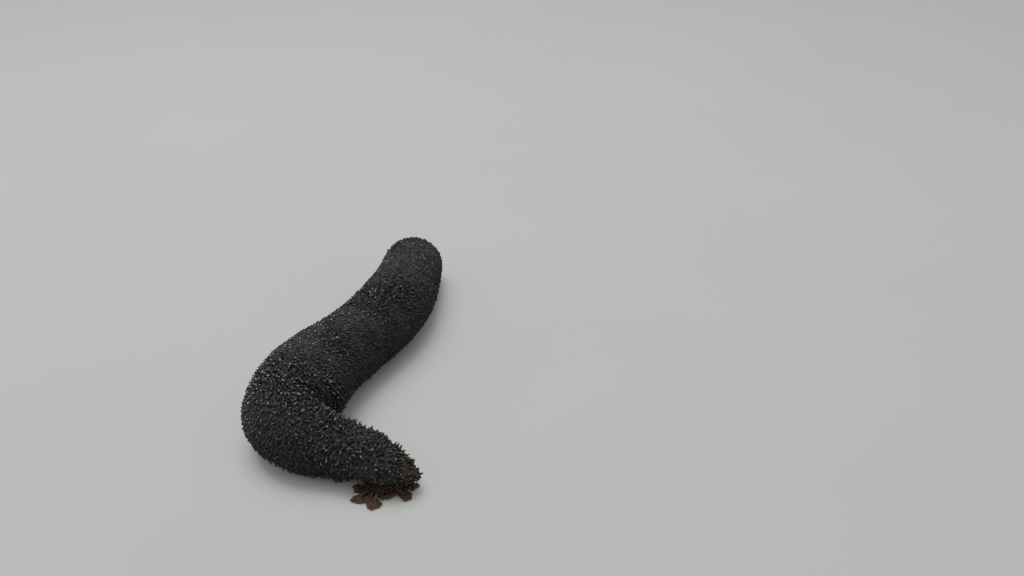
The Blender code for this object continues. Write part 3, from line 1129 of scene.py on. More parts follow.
    def build(self, grid: SkinGrid, material: bpy.types.Material) -> list[bpy.types.Object]:
        """Grows the papillae and deals them out to the pieces.

        Args:
            grid: The skin with its mounds.
            material: The papillae's material.

        Returns:
            The pieces of the coat.
        """
        row, col = self.roots
        count = len(row)
        height, radius = self.sizes
        roots = grid.read(grid.points, row, col)
        normal = unit(grid.read(grid.normals, row, col))
        onward = unit(grid.read(grid.steps()[0], row, col))
        varied = self.rng.uniform(-self.taper_spread, self.taper_spread, count)
        taper = self.taper + self.front_taper * self.forward + varied
        leaning = self.front_lean * self.forward[:, None] * onward
        axis = unit(normal + self.tilt * self.rng.standard_normal((count, 3)) + leaning)
        lean = self.curl * self.rng.standard_normal((count, 3))
        bend = lean - axis * (lean * axis).sum(axis=-1, keepdims=True)
        hint = self.rng.standard_normal((count, 3))
        draw = self.rng.random(count)
        pallor = Speckles(self.skin).over(row, col, self.inner, self.forward, draw)
        rust = grid.read(self.skin.rust, row, col)
        place = self.skin.map_place(row, col)
        growth = (roots, axis, hint, bend, height, radius, taper)
        made = []
        for number in range(self.pieces):
            own = slice(number, None, self.pieces)
            values = {PALLOR: pallor[own], RUST: rust[own]}
            shell = PAPILLA.grow(*(part[own] for part in growth), values, place[own])
            shell.raise_to(self.lowest)
            piece = shell.make_object(f"papillae_{number + 1}", material)
            made.append(finish_piece(piece))
        return made


@dataclass(frozen=True)
class TubeFeet:
    """The small suckers all over the sole, on which the animal rests.

    Attributes:
        skin: The skin that they grow on.
        spacing: The least distance between two roots.
        highest: Height of the highest roots.
        height_ease: How much lower they are dense.
        sole_slope: Downward part of the normal where they begin, and the span until they are dense.
        vent_clearing: How far from the hind pole they begin.
        radius: Mean root radius.
        width_range: The least and the greatest factor on it.
        outward: How far they follow the skin's normal aside.
        tilt: How far they stray from the upright.
        lifted_share: Share of them that end above the floor.
        lifts: The least and the greatest height at which those end.
        pallors: The least and the greatest pallor.
    """

    skin: Skin
    spacing: float = 1.75 * MM
    highest: float = 3.2 * MM
    height_ease: float = 0.6 * MM
    sole_slope: Pair = (0.25, 0.2)
    vent_clearing: float = 6 * MM
    radius: float = 0.42 * MM
    width_range: Pair = (0.8, 1.15)
    outward: float = 0.25
    tilt: float = 0.10
    lifted_share: float = 0.2
    lifts: Pair = (0.1 * MM, 0.7 * MM)
    pallors: Pair = (0.25, 0.6)

    def build(self, grid: SkinGrid, material: bpy.types.Material) -> bpy.types.Object:
        """Grows the tube feet from the sole down to the floor.

        Args:
            grid: The skin.
            material: The tube feet's material.

        Returns:
            The one piece that holds them.
        """
        rng = Seed.TUBE_FEET.draws()
        low = smooth_step((self.highest - grid.points[..., 2]) / self.height_ease)
        wanted = low * ramp(-grid.normals[..., 2], *self.sole_slope)
        wanted = wanted * (grid.along > self.vent_clearing)[:, None]
        row, col = scatter(grid, np.full(grid.shape, self.spacing), wanted, rng)
        count = len(row)
        roots = grid.read(grid.points, row, col)
        normal = unit(grid.read(grid.normals, row, col))
        aside = normal * (self.outward, self.outward, 0.0)
        axis = unit(aside - UPRIGHT + self.tilt * rng.standard_normal((count, 3)))
        above = rng.random(count) < self.lifted_share
        lifted = np.where(above, rng.uniform(*self.lifts, count), 0.0)
        height = (roots[:, 2] - lifted) / -axis[:, 2]
        radius = self.radius * rng.uniform(*self.width_range, count)
        values = {PALLOR: rng.uniform(*self.pallors, count), RUST: grid.read(self.skin.rust, row, col)}
        still = np.zeros((count, 3))
        hint = rng.standard_normal((count, 3))
        place = self.skin.map_place(row, col)
        shell = TUBE_FOOT.grow(roots, axis, hint, still, height, radius, np.ones(count), values, place)
        shell.raise_to(0.0)
        return finish_piece(shell.make_object("tube_feet", material))


@dataclass(frozen=True)
class TubeValues:
    """The point values of one set of the crown's tubes.

    Attributes:
        rise: How far up the crown's tree they are, where they begin and where they end.
        pallor: How rusty their ends are.
        rng: The random draws, which vary that from tube to tube.
        spread: The least and the greatest factor on it.
        rust: How brown their flesh is.
    """

    rise: Pair
    pallor: float
    rng: Draws
    spread: Pair = (0.1, 1.6)
    rust: float = 0.5

    def over(self, count: int, share: Array) -> dict[str, Array]:
        """The values of the tubes' points: even ones but for the rise, which grows with the share.

        Args:
            count: How many tubes there are.
            share: The shares of their length where their points are.

        Returns:
            The values by name, tubes by points.
        """
        shape = (count, len(share))
        pallor = np.clip(self.pallor * self.rng.uniform(*self.spread, (count, 1)), 0.0, 1.0)
        return {
            RISE: np.broadcast_to(blend(*self.rise, share), shape),
            PALLOR: np.broadcast_to(pallor, shape),
            RUST: np.full(shape, self.rust),
        }


@dataclass(frozen=True)
class Tier:
    """One order of a shield's branches.

    Attributes:
        parent: The tier that it leaves, or the shield's low or high middle.
        share: The share of its parent's length where it leaves it.
        swings: The turns by which it does, in radians.
        length: Its length as a share of its parent's, for all or for each turn.
        drop: How far it sinks.
        radius: Its radius as a share of its parent's.
        sides: Points of a ring.
        points: Points of a branch's path.
        taper: The share of the radius that is lost towards the end.
        rise: How far up the crown's tree it is, where it begins and where it ends.
        pallor: How rusty its ends are.
        knob: Size of the knobs at its ends.
    """

    parent: str
    share: float
    swings: Floats
    length: float | Floats
    drop: float
    radius: float
    sides: int
    points: int
    taper: float
    rise: Pair
    knob: float
    pallor: float = 0.5


@dataclass(frozen=True)
class Limbs:
    """Rods of one order, which leave their parents level and sink to the floor.

    Attributes:
        start: Where each begins.
        turn: Each one's direction from above, in radians from +X.
        length: Each one's length.
        drop: How far each sinks over its length.
        radius: Each one's radius where it begins.
        arch: How far the middle of each rises above that.
        swing_spread: How far the turns of the next order vary.
        length_range: The least and the greatest factor on its lengths.
    """

    start: Array
    turn: Array
    length: Array
    drop: Array
    radius: Array
    arch: float = 0.0
    swing_spread: float = 0.15
    length_range: Pair = (0.75, 1.15)

    def at(self, share: Array | float) -> Array:
        """Points at the shares of the length: start + ahead l t + up (arch sin(pi t) - drop t^2).

        Args:
            share: One share for all limbs, or a row of them.

        Returns:
            One point for each limb and share.
        """
        share = np.atleast_1d(share)
        out = (self.length[:, None] * share)[..., None]
        level = self.start[:, None] + compass(self.turn)[:, None] * out
        rise = self.arch * np.sin(math.pi * share) - self.drop[:, None] * share**2
        return level + UPRIGHT * rise[..., None]

    def shell(self, sides: int, points: int, taper: float, values: TubeValues) -> Shell:
        """Round rods along the limbs.

        Args:
            sides: Points of a ring.
            points: Points of a limb's path.
            taper: The share of the radius that is lost towards the end.
            values: What makes the rods' point values.

        Returns:
            The rods.
        """
        share = np.linspace(0.0, 1.0, points)
        radii = self.radius[:, None] * (1 - taper * share[1:-1])
        up = np.broadcast_to(UPRIGHT, self.start.shape)
        side = compass(self.turn + math.pi / 2)[:, None]
        held = values.over(len(self.start), share)
        return sweep(self.at(share), radii, side, up[:, None], sides, held)

    def fork(self, tier: Tier, rng: Draws) -> "Limbs":
        """Limbs of the next order, which leave each of these at one share of its length.

        Args:
            tier: How they leave it.
            rng: The random draws.

        Returns:
            The limbs of the next order.
        """
        swings = np.array(tier.swings)
        count = len(self.start) * len(swings)
        parent = np.repeat(np.arange(len(self.start)), len(swings))
        varied = rng.uniform(-self.swing_spread, self.swing_spread, count)
        turn = self.turn[parent] + np.tile(swings, len(self.start)) + varied
        lengths = np.tile(np.broadcast_to(tier.length, swings.shape), len(self.start))
        long = self.length[parent] * lengths * rng.uniform(*self.length_range, count)
        sunk = np.full(count, tier.drop) * (self.radius[parent] / self.radius.max())
        return Limbs(self.at(tier.share)[parent, 0], turn, long, sunk, self.radius[parent] * tier.radius)


@dataclass(frozen=True)
class Knobs:
    """Small round knobs at the limbs' ends: one ahead for each swing, and one on top.

    Attributes:
        radius: Their mean radius.
        swings: Their directions from the limb's own, in radians.
        swing_spread: How far those vary.
        size_range: The least and the greatest factor on the radius by chance.
        thin_share: The factor at the end of a limb of no width, which grows to 1 at the widest.
        hops: How far past the end a knob's middle lies, in its radii: one ahead, and one on top.
        rest: The least height of its middle, in its radii.
        sides: Points of a ring.
        tilts: Where its poles and rings lie, in degrees from its middle.
    """

    radius: float = 0.34 * MM
    swings: Floats = (-1.0, 0.0, 1.0)
    swing_spread: float = 0.2
    size_range: Pair = (0.8, 1.15)
    thin_share: float = 0.4
    hops: Pair = (1.1, 0.2)
    rest: float = 0.9
    sides: int = 5
    tilts: Floats = (-90.0, -45.0, 0.0, 45.0, 90.0)

    def over(self, limbs: Limbs, size: float, values: TubeValues) -> Shell:
        """The knobs of some limbs: round tubes of few rings, each a sphere's at its tilt.

        Args:
            limbs: The limbs.
            size: The factor on the radius.
            values: What makes the knobs' point values.

        Returns:
            The knobs.
        """
        rng = values.rng
        ends = len(limbs.start)
        kinds = len(self.swings) + 1
        count = ends * kinds
        limb = np.repeat(np.arange(ends), kinds)
        on_top = np.tile(np.arange(kinds) == len(self.swings), ends)
        varied = rng.uniform(-self.swing_spread, self.swing_spread, count)
        swing = np.tile(np.append(self.swings, 0.0), ends) + varied
        out = compass(limbs.turn[limb] + swing)
        width = self.thin_share + (1 - self.thin_share) * (limbs.radius[limb] / limbs.radius.max())
        ball = size * self.radius * rng.uniform(*self.size_range, count) * width
        hop = np.where(on_top, self.hops[1], self.hops[0]) * ball
        centre = limbs.at(1.0)[limb, 0] + out * hop[:, None] + UPRIGHT * (on_top * ball)[:, None]
        centre[:, 2] = np.maximum(centre[:, 2], ball * self.rest)
        tilt = np.radians(self.tilts)
        level = np.cross(UPRIGHT, out)
        path = centre[:, None] + out[:, None] * (ball[:, None] * np.sin(tilt))[..., None]
        held = values.over(count, np.linspace(0.0, 1.0, len(tilt)))
        radii = ball[:, None] * np.cos(tilt[1:-1])
        up = np.cross(out, level)
        return sweep(path, radii, level[:, None], up[:, None], self.sides, held)


@dataclass(frozen=True)
class MouthDisc:
    """The neck, the disc and the mouth: one profile turned round the upright through the mouth.

    Attributes:
        sides: Points of a ring.
        fold_radius: Distance from the mouth where the folds to the feelers are highest.
        fold_reach: Their half width from there.
        fold_height: Their height.
        fold_top: Height above which there are none.
        profile: Height above the floor and radius, from the neck down and into the mouth, in millimetres.
    """

    sides: int = 120
    fold_radius: float = 3.6 * MM
    fold_reach: float = 2.2 * MM
    fold_height: float = 0.35 * MM
    fold_top: float = 4.2 * MM
    profile: tuple[Pair, ...] = (
        (9.0, 0.0), (9.0, 4.6), (7.0, 4.9), (5.4, 5.6), (4.2, 6.6),
        (3.2, 7.0), (2.2, 6.6), (1.8, 5.7), (1.7, 4.9), (1.65, 4.0),
        (1.5, 3.2), (1.3, 2.5), (1.6, 1.9), (2.8, 1.3), (3.6, 0.0),
    )

    def shell(self, middle: Array, folds: int, values: TubeValues) -> Shell:
        """Turns the profile and raises the folds.

        A fold is a cosine of the angle round the mouth, one wave for each feeler, faded by a bell curve of
        the distance from it.

        Args:
            middle: The middle of the mouth on the floor.
            folds: How many folds there are.
            values: What makes the disc's point values.

        Returns:
            The disc.
        """
        height, radius = np.array(self.profile).T * MM
        path = middle + UPRIGHT * height[:, None]
        side, up = np.array([[[1.0, 0.0, 0.0]]]), np.array([[[0.0, -1.0, 0.0]]])
        held = values.over(1, np.linspace(0.0, 1.0, len(height)))
        disc = sweep(path[None], radius[None, 1:-1], side, up, self.sides, held)
        x, y, z = (disc.points - middle).T
        fade = bell(np.hypot(x, y) - self.fold_radius, self.fold_reach) * (z < self.fold_top)
        disc.points[:, 2] -= self.fold_height * fade * np.cos(folds * np.arctan2(y, x))
        return disc


@dataclass(frozen=True)
class NeckCollar:
    """The papillae on the crown's neck, in rings round the upright through the mouth.

    Attributes:
        rings: Each ring's height, radius, and how far its papillae point above the level, in degrees.
        growths: Papillae of a ring.
        turn_spread: How far they stray along the ring, in radians.
        tilt_spread: How far they stray from their direction, in degrees.
        height: Their greatest mean height.
        height_range: The least and the greatest factor on it.
        radius: Their root radius.
        radius_range: The least and the greatest factor on it.
        curl: How far their tips bend aside.
        pallor: Pallor of the palest.
        rust: How brown they are.
    """

    rings: tuple[Triple, ...] = (
        (3.9 * MM, 6.6 * MM, 16.0),
        (4.6 * MM, 6.1 * MM, 14.0),
        (5.5 * MM, 5.5 * MM, 4.0),
        (6.6 * MM, 5.0 * MM, -10.0),
    )
    growths: int = 25
    turn_spread: float = 0.06
    tilt_spread: float = 8.0
    height: float = 1.9 * MM
    height_range: Pair = (0.6, 1.1)
    radius: float = 0.74 * MM
    radius_range: Pair = (0.85, 1.1)
    curl: float = 0.15
    pallor: float = 0.5
    rust: float = 0.3

    def shell(self, middle: Array, rng: Draws) -> Shell:
        """Grows the papillae, turned on by the golden share of a turn from one to the next.

        Args:
            middle: The middle of the mouth on the floor.
            rng: The random draws.

        Returns:
            The collar.
        """
        count = len(self.rings) * self.growths
        height, radius, tilt = np.repeat(np.array(self.rings), self.growths, axis=0).T
        turn = np.arange(count) * 2 * math.pi * (1 / self.growths + GOLDEN_SHARE)
        out = compass(turn + rng.uniform(-self.turn_spread, self.turn_spread, count))
        lean = np.radians(tilt + rng.normal(0.0, self.tilt_spread, count))[:, None]
        axis = out * np.cos(lean) + UPRIGHT * np.sin(lean)
        roots = middle + out * radius[:, None] + UPRIGHT * height[:, None]
        tall = self.height * rng.uniform(*self.height_range, count)
        wide = self.radius * rng.uniform(*self.radius_range, count)
        bend = self.curl * rng.standard_normal((count, 3))
        values = {PALLOR: self.pallor * rng.random(count) ** 2, RUST: np.full(count, self.rust)}
        hint = np.broadcast_to(UPRIGHT, axis.shape)
        place = np.zeros((count, 2))
        return PAPILLA.grow(roots, axis, hint, bend, tall, wide, np.ones(count), values, place)


def all_round(count: int, first: float = 0.0) -> Floats:
    """So many turns spread evenly over a whole one, from the first, in radians."""
    return tuple(number * 2 * math.pi / count + first for number in range(count))


LOW_MIDDLE = "low_middle"
HIGH_MIDDLE = "high_middle"
BRANCHES = 10
# Every third branch is short, which parts a shield into lobes.
LOBES = tuple(0.60 if number % 3 == 1 else 0.92 for number in range(BRANCHES))
# A shield's low branches with two pairs of twigs each, and the crest on its dome with one pair each.
TIERS = {
    "branches": Tier(
        LOW_MIDDLE, share=0.0, swings=all_round(BRANCHES), length=LOBES, drop=1.1 * MM, radius=0.13,
        sides=7, points=8, taper=0.4, rise=(0.35, 0.7), knob=1.0,
    ),
    "lower_twigs": Tier(
        "branches", share=0.42, swings=(-0.85, 0.85), length=0.46, drop=0.45 * MM, radius=0.8,
        sides=6, points=5, taper=0.3, rise=(0.5, 0.8), knob=0.9,
    ),
    "upper_twigs": Tier(
        "branches", share=0.74, swings=(-0.75, 0.75), length=0.30, drop=0.25 * MM, radius=0.75,
        sides=6, points=4, taper=0.3, rise=(0.6, 0.8), knob=0.85,
    ),
    "crest": Tier(
        HIGH_MIDDLE, share=0.0, swings=all_round(7, 0.3), length=0.50, drop=0.9 * MM, radius=0.12,
        sides=6, points=5, taper=0.4, rise=(0.35, 0.7), knob=0.9,
    ),
    "crest_twigs": Tier(
        "crest", share=0.5, swings=(-0.9, 0.9), length=0.50, drop=0.2 * MM, radius=0.8,
        sides=6, points=4, taper=0.3, rise=(0.6, 0.8), knob=0.85,
    ),
}


@dataclass(frozen=True)
class FeelerCrown:
    """The mouth disc on its short neck, with twenty feelers that end in branched shields.

    Attributes:
        form: The body above the crown.
        back: How far the mouth lies behind the front tip.
        right: How far it lies to the right of the midline.
        feelers: How many feelers there are.
        root: How far from the middle they leave the disc.
        root_height: Height above the floor where they do.
        stalk_radius: Radius of their stalks.
        stalk_drop: How far a stalk sinks.
        stalk_arch: How far its middle rises above that.
        stalk_taper: The share of its radius that is lost towards the shield.
        stalk_sides: Points of a stalk's ring.
        stalk_points: Points of its path.
        reaches: How far from the mouth's middle the short and the long feelers reach with their stalks.
        spread: Share of that at each eighth of a turn, from straight ahead round by the left.
        shield_radii: Radii of the short and the long feelers' shields.
        dome_heights: Heights of the rings and poles of a shield's dome, in millimetres.
        dome_widths: Its rings' radii as shares of the shield's.
        dome_sides: Points of such a ring.
        middle_rise: How far a shield's low middle lies above the stalk's end.
        high_middle: Height of its high middle above the floor.
        stalk_rise: How far up the crown's tree the disc and the stalks are, where they begin and end.
        dome_rise: The same for the domes.
        knob_rise: The same for the knobs.
        flesh_pallor: Pallor of stalks and domes.
        knob_pallor: Pallor of the knobs.
        disc_pallor: Pallor of the disc.
    """

    form: BodyForm
    back: float = 19 * MM
    right: float = 4 * MM
    feelers: int = 20
    root: float = 4.6 * MM
    root_height: float = 3.0 * MM
    stalk_radius: float = 1.0 * MM
    stalk_drop: float = 1.5 * MM
    stalk_arch: float = 0.5 * MM
    stalk_taper: float = 0.1
    stalk_sides: int = 10
    stalk_points: int = 13
    reaches: Pair = (11 * MM, 16 * MM)
    spread: Floats = (0.95, 0.8, 0.7, 0.65, 0.6, 0.85, 0.95, 0.5)
    shield_radii: Pair = (3.3 * MM, 4.2 * MM)
    dome_heights: Floats = (0.4, 0.4, 0.8, 1.3, 1.8, 2.1, 2.2)
    dome_widths: Floats = (0.40, 0.50, 0.50, 0.38, 0.20)
    dome_sides: int = 14
    middle_rise: float = 0.3 * MM
    high_middle: float = 2.0 * MM
    stalk_rise: Pair = (0.0, 0.35)
    dome_rise: Pair = (0.3, 0.4)
    knob_rise: Pair = (0.8, 1.0)
    flesh_pallor: float = 0.4
    knob_pallor: float = 0.6
    disc_pallor: float = 0.3

    def centre(self) -> tuple[Array, float]:
        """The place under the body where the mouth is, to the right of the midline.

        Returns:
            The middle of the mouth on the floor, and the heading of the body above it.
        """
        x, y, heading, _ = (float(value) for value in self.form.on_midline(self.form.length - self.back))
        aside = np.array([math.sin(heading), -math.cos(heading), 0.0]) * self.right
        return np.array([x, y, 0.0]) + aside, heading

    def stalks(self) -> tuple[Limbs, Array]:
        """The stalks, evenly round the mouth, short and long in turn, each scaled by the spread there.

        Returns:
            The stalks, and the radius of the shield at the end of each.
        """
        middle, heading = self.centre()
        index = np.arange(self.feelers)
        turn = 2 * math.pi * (index + 0.5) / self.feelers
        eighths = np.linspace(0.0, 2 * math.pi, len(self.spread) + 1)
        size = np.interp(turn, eighths, self.spread + self.spread[:1])
        reach = np.array(self.reaches)[index % 2] * size
        shields = np.array(self.shield_radii)[index % 2] * size
        angle = heading + turn
        start = middle + compass(angle) * self.root + UPRIGHT * self.root_height
        drop = np.full(self.feelers, self.stalk_drop)
        limbs = Limbs(start, angle, reach - self.root, drop, self.stalk_radius * size, self.stalk_arch)
        return limbs, shields

    def domes(self, stalks: Limbs, shields: Array, values: TubeValues) -> Shell:
        """The fleshy middles of the shields: low domes on the floor at the stalks' ends.

        Args:
            stalks: The stalks.
            shields: The shields' radii.
            values: What makes the domes' point values.

        Returns:
            The domes.
        """
        height = np.array(self.dome_heights) * MM
        middle = stalks.at(1.0)[:, 0] * (1.0, 1.0, 0.0)
        paths = middle[:, None] + UPRIGHT * height[None, :, None]
        side, up = np.array([[[1.0, 0.0, 0.0]]]), np.array([[[0.0, 1.0, 0.0]]])
        held = values.over(self.feelers, np.linspace(0.0, 1.0, len(height)))
        return sweep(paths, shields[:, None] * np.array(self.dome_widths), side, up, self.dome_sides, held)

    def build(self, material: bpy.types.Material) -> list[bpy.types.Object]:
        """Joins the knobs in one piece, and the disc, stalks, domes, branches and collar in another.

        Args:
            material: The feelers' material.

        Returns:
            The knobs, and the crown in place of its solid.
        """
        rng = Seed.FEELERS.draws()
        middle, _ = self.centre()
        stalks, shields = self.stalks()
        level = np.zeros_like(shields)
        low = stalks.at(1.0)[:, 0] + UPRIGHT * self.middle_rise
        high = low * (1.0, 1.0, 0.0) + UPRIGHT * self.high_middle
        limbs = {
            LOW_MIDDLE: Limbs(low, stalks.turn, shields, level, shields),
            HIGH_MIDDLE: Limbs(high, stalks.turn, shields, level, shields),
        }
        for name, tier in TIERS.items():
            limbs[name] = limbs[tier.parent].fork(tier, rng)
        stalk_values = TubeValues(self.stalk_rise, self.flesh_pallor, rng)
        parts = [
            stalks.shell(self.stalk_sides, self.stalk_points, self.stalk_taper, stalk_values),
            self.domes(stalks, shields, TubeValues(self.dome_rise, self.flesh_pallor, rng)),
        ]
        for name, tier in TIERS.items():
            values = TubeValues(tier.rise, tier.pallor, rng)
            parts.append(limbs[name].shell(tier.sides, tier.points, tier.taper, values))
        tips = TubeValues(self.knob_rise, self.knob_pallor, rng)
        knobs = Shell.joined([Knobs().over(limbs[name], tier.knob, tips) for name, tier in TIERS.items()])
        disc_values = TubeValues(self.stalk_rise, self.disc_pallor, rng)
        disc = MouthDisc().shell(middle, self.feelers, disc_values)
        crown = Shell.joined([disc, *parts, NeckCollar().shell(middle, rng)])
        for shell in (knobs, crown):
            shell.raise_to(0.0)
        knob_piece = finish_piece(knobs.make_object("feeler_knobs", material))
        piece = crown.make_object("feeler_crown", material)
        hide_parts(CROWN_NODE)
        return [knob_piece, finish_piece(piece)]


def put(tree: Tree, kind: str, inputs: dict[str | int, Wanted], **settings: object) -> bpy.types.Node:
    """Adds a node.

    Args:
        tree: The tree that gets it.
        kind: The node's type.
        inputs: Its inputs by name or number, each a value or another node's output.
        **settings: Its own settings.

    Returns:
        The node.
    """
    node = tree.nodes.new(kind)
    for name, value in settings.items():
        setattr(node, name, value)
    for key, value in inputs.items():
        if isinstance(value, Socket):
            tree.links.new(value, node.inputs[key])
        else:
            node.inputs[key].default_value = value
    return node


def compute(tree: Tree, operation: str, *terms: Wanted) -> Socket:
    """One sum, product or other operation of a Math node."""
    return put(tree, "ShaderNodeMath", dict(enumerate(terms)), operation=operation).outputs[0]


def ease(tree: Tree, value: Wanted, low: float, high: float, to: Pair = (0.0, 1.0)) -> Socket:
    """Eases a value from low to high into the range `to`."""
    inputs = {"Value": value, "From Min": low, "From Max": high, "To Min": to[0], "To Max": to[1]}
    return put(tree, "ShaderNodeMapRange", inputs, interpolation_type="SMOOTHSTEP").outputs[0]


def mix_colour(tree: Tree, share: Wanted, first: Wanted, second: Wanted) -> Socket:
    """The first colour where the share is 0, the second where it is 1."""
    return put(tree, "ShaderNodeMix", {0: share, 6: first, 7: second}, data_type="RGBA").outputs[2]


def noise(tree: Tree, where: Wanted, scale: Wanted, detail: float = 3.0) -> Socket:
    """A noise texture's value."""
    inputs = {"Vector": where, "Scale": scale, "Detail": detail}
    return put(tree, "ShaderNodeTexNoise", inputs).outputs["Fac"]


@dataclass(frozen=True)
class Mottle:
    """A smooth random pattern: noise, eased from one of its values to another into a range.

    Attributes:
        scale: Its waves in a metre.
        low: The noise's value where the range begins.
        high: Its value where the range ends.
        to: The range.
        detail: How many finer waves it has.
    """

    scale: float
    low: float = 0.3
    high: float = 0.7
    to: Pair = (0.0, 1.0)
    detail: float = 3.0

    def over(self, tree: Tree, where: Wanted) -> Socket:
        """The pattern at positions."""
        return ease(tree, noise(tree, where, self.scale, self.detail), self.low, self.high, self.to)


class Effect(Enum):
    """The node groups that several materials share."""

    MARKINGS = "flesh_markings"
    GRAIN = "flesh_grain"


def open_group(
    effect: Effect, inputs: dict[str, float | Colour | None], outputs: dict[str, str]
) -> tuple[Tree, Sockets, Sockets]:
    """Starts a node group with named sockets.

    Args:
        effect: The group's effect, which names it.
        inputs: The inputs' default values by name: a number, a colour, or None for a vector.
        outputs: The outputs' socket types by name.

    Returns:
        The group, what it is given, and what it puts out.
    """
    group = bpy.data.node_groups.new(effect.value, "ShaderNodeTree")
    for name, value in inputs.items():
        kind = {float: "NodeSocketFloat", tuple: "NodeSocketColor"}.get(type(value), "NodeSocketVector")
        socket = group.interface.new_socket(name=name, in_out="INPUT", socket_type=kind)
        if value is not None:
            socket.default_value = value
    for name, kind in outputs.items():
        group.interface.new_socket(name=name, in_out="OUTPUT", socket_type=kind)
    return group, group.nodes.new("NodeGroupInput").outputs, group.nodes.new("NodeGroupOutput").inputs


@dataclass(frozen=True)
class Markings:
    """The colours of skin and coat: black flesh that turns brown in patches, with paler tips.

    Attributes:
        blotches: What the brown patches add to the rust.
        shade: Broad light and dark of the flesh.
        speckle: Fine light and dark of the flesh.
        coolness: Where the pale tips are cool.
        sheen: Factor on the roughness.
        tan: Factor on the pale colour where the flesh is brown.
        tan_range: The rust where the tips begin to be tan, and where they are.
    """

    blotches: Mottle = Mottle(70.0, 0.36, 0.66, (-0.14, 0.16))
    shade: Mottle = Mottle(420.0, to=(0.62, 1.38))
    speckle: Mottle = Mottle(1500.0, to=(0.75, 1.25), detail=2.0)
    coolness: Mottle = Mottle(330.0, 0.42, 0.62, detail=1.0)
    sheen: Mottle = Mottle(260.0, to=(0.86, 1.14))
    tan: Triple = (0.85, 0.70, 0.46)
    tan_range: Pair = (0.25, 0.6)

    def make(self) -> Tree:
        """Black mixed to brown by the rust, scaled by the shades, and mixed to the tips' colour by rise.

        Returns:
            The node group.
        """
        black = (0.02, 0.02, 0.02, 1.0)
        inputs = {
            "Position": None,
            "Rise": 0.0,
            "Pallor": 0.0,
            "Rust": 0.0,
            "Black": black,
            "Brown": black,
            "Pale": black,
            "Cool Pale": black,
            "Pale From": 0.6,
            "Roughness": 0.6,
        }
        outputs = {"Color": "NodeSocketColor", "Roughness": "NodeSocketFloat"}
        group, given, out = open_group(Effect.MARKINGS, inputs, outputs)
        where = given["Position"]
        brown = compute(group, "ADD", given["Rust"], self.blotches.over(group, where))
        flesh = mix_colour(group, ease(group, brown, 0.0, 1.0), given["Black"], given["Brown"])
        depth = compute(group, "MULTIPLY", self.shade.over(group, where), self.speckle.over(group, where))
        toned = put(group, "ShaderNodeVectorMath", {0: flesh, "Scale": depth}, operation="SCALE")
        rise = {"Value": given["Rise"], "From Min": given["Pale From"]}
        reach = put(group, "ShaderNodeMapRange", rise, interpolation_type="SMOOTHSTEP")
        pale = compute(group, "MULTIPLY", reach.outputs[0], given["Pallor"])
        tip = mix_colour(group, self.coolness.over(group, where), given["Pale"], given["Cool Pale"])
        tan = put(group, "ShaderNodeVectorMath", {0: given["Pale"], 1: self.tan}, operation="MULTIPLY")
        tip = mix_colour(group, ease(group, brown, *self.tan_range), tip, tan.outputs[0])
        group.links.new(mix_colour(group, pale, toned.outputs[0], tip), out["Color"])
        rough = compute(group, "MULTIPLY", given["Roughness"], self.sheen.over(group, where))
        group.links.new(rough, out["Roughness"])
        return group


@dataclass(frozen=True)
class Grain:
    """The fine relief of wet leathery flesh: small cells with wrinkles between them.

    Attributes:
        cell_edge: Distance from a cell's middle where it is lowest, in cells.
        cell_height: Height of the cells.
        fine_scale: Waves of the fine noise in a cell.
        fine_detail: How many finer waves that has.
        fine_height: Its height.
        broad_scale: Waves of the broad noise in a cell.
    """

    cell_edge: float = 0.75
    cell_height: float = 0.45
    fine_scale: float = 2.3
    fine_detail: float = 4.0
    fine_height: float = 0.4
    broad_scale: float = 0.28

    def make(self) -> Tree:
        """The sum of rounded cells, broad noise and fine noise.

        Returns:
            The node group.
        """
        inputs = {"Position": None, "Scale": 1000.0}
        group, given, out = open_group(Effect.GRAIN, inputs, {"Height": "NodeSocketFloat"})
        where, scale = given["Position"], given["Scale"]
        cells = put(group, "ShaderNodeTexVoronoi", {"Vector": where, "Scale": scale}, feature="SMOOTH_F1")
        rounded = ease(group, cells.outputs["Distance"], 0.0, self.cell_edge, (1.0, 0.0))
        fine = noise(group, where, compute(group, "MULTIPLY", scale, self.fine_scale), self.fine_detail)
        broad = noise(group, where, compute(group, "MULTIPLY", scale, self.broad_scale))
        height = compute(group, "ADD", compute(group, "MULTIPLY", rounded, self.cell_height), broad)
        height = compute(group, "ADD", height, compute(group, "MULTIPLY", fine, self.fine_height))
        group.links.new(height, out["Height"])
        return group


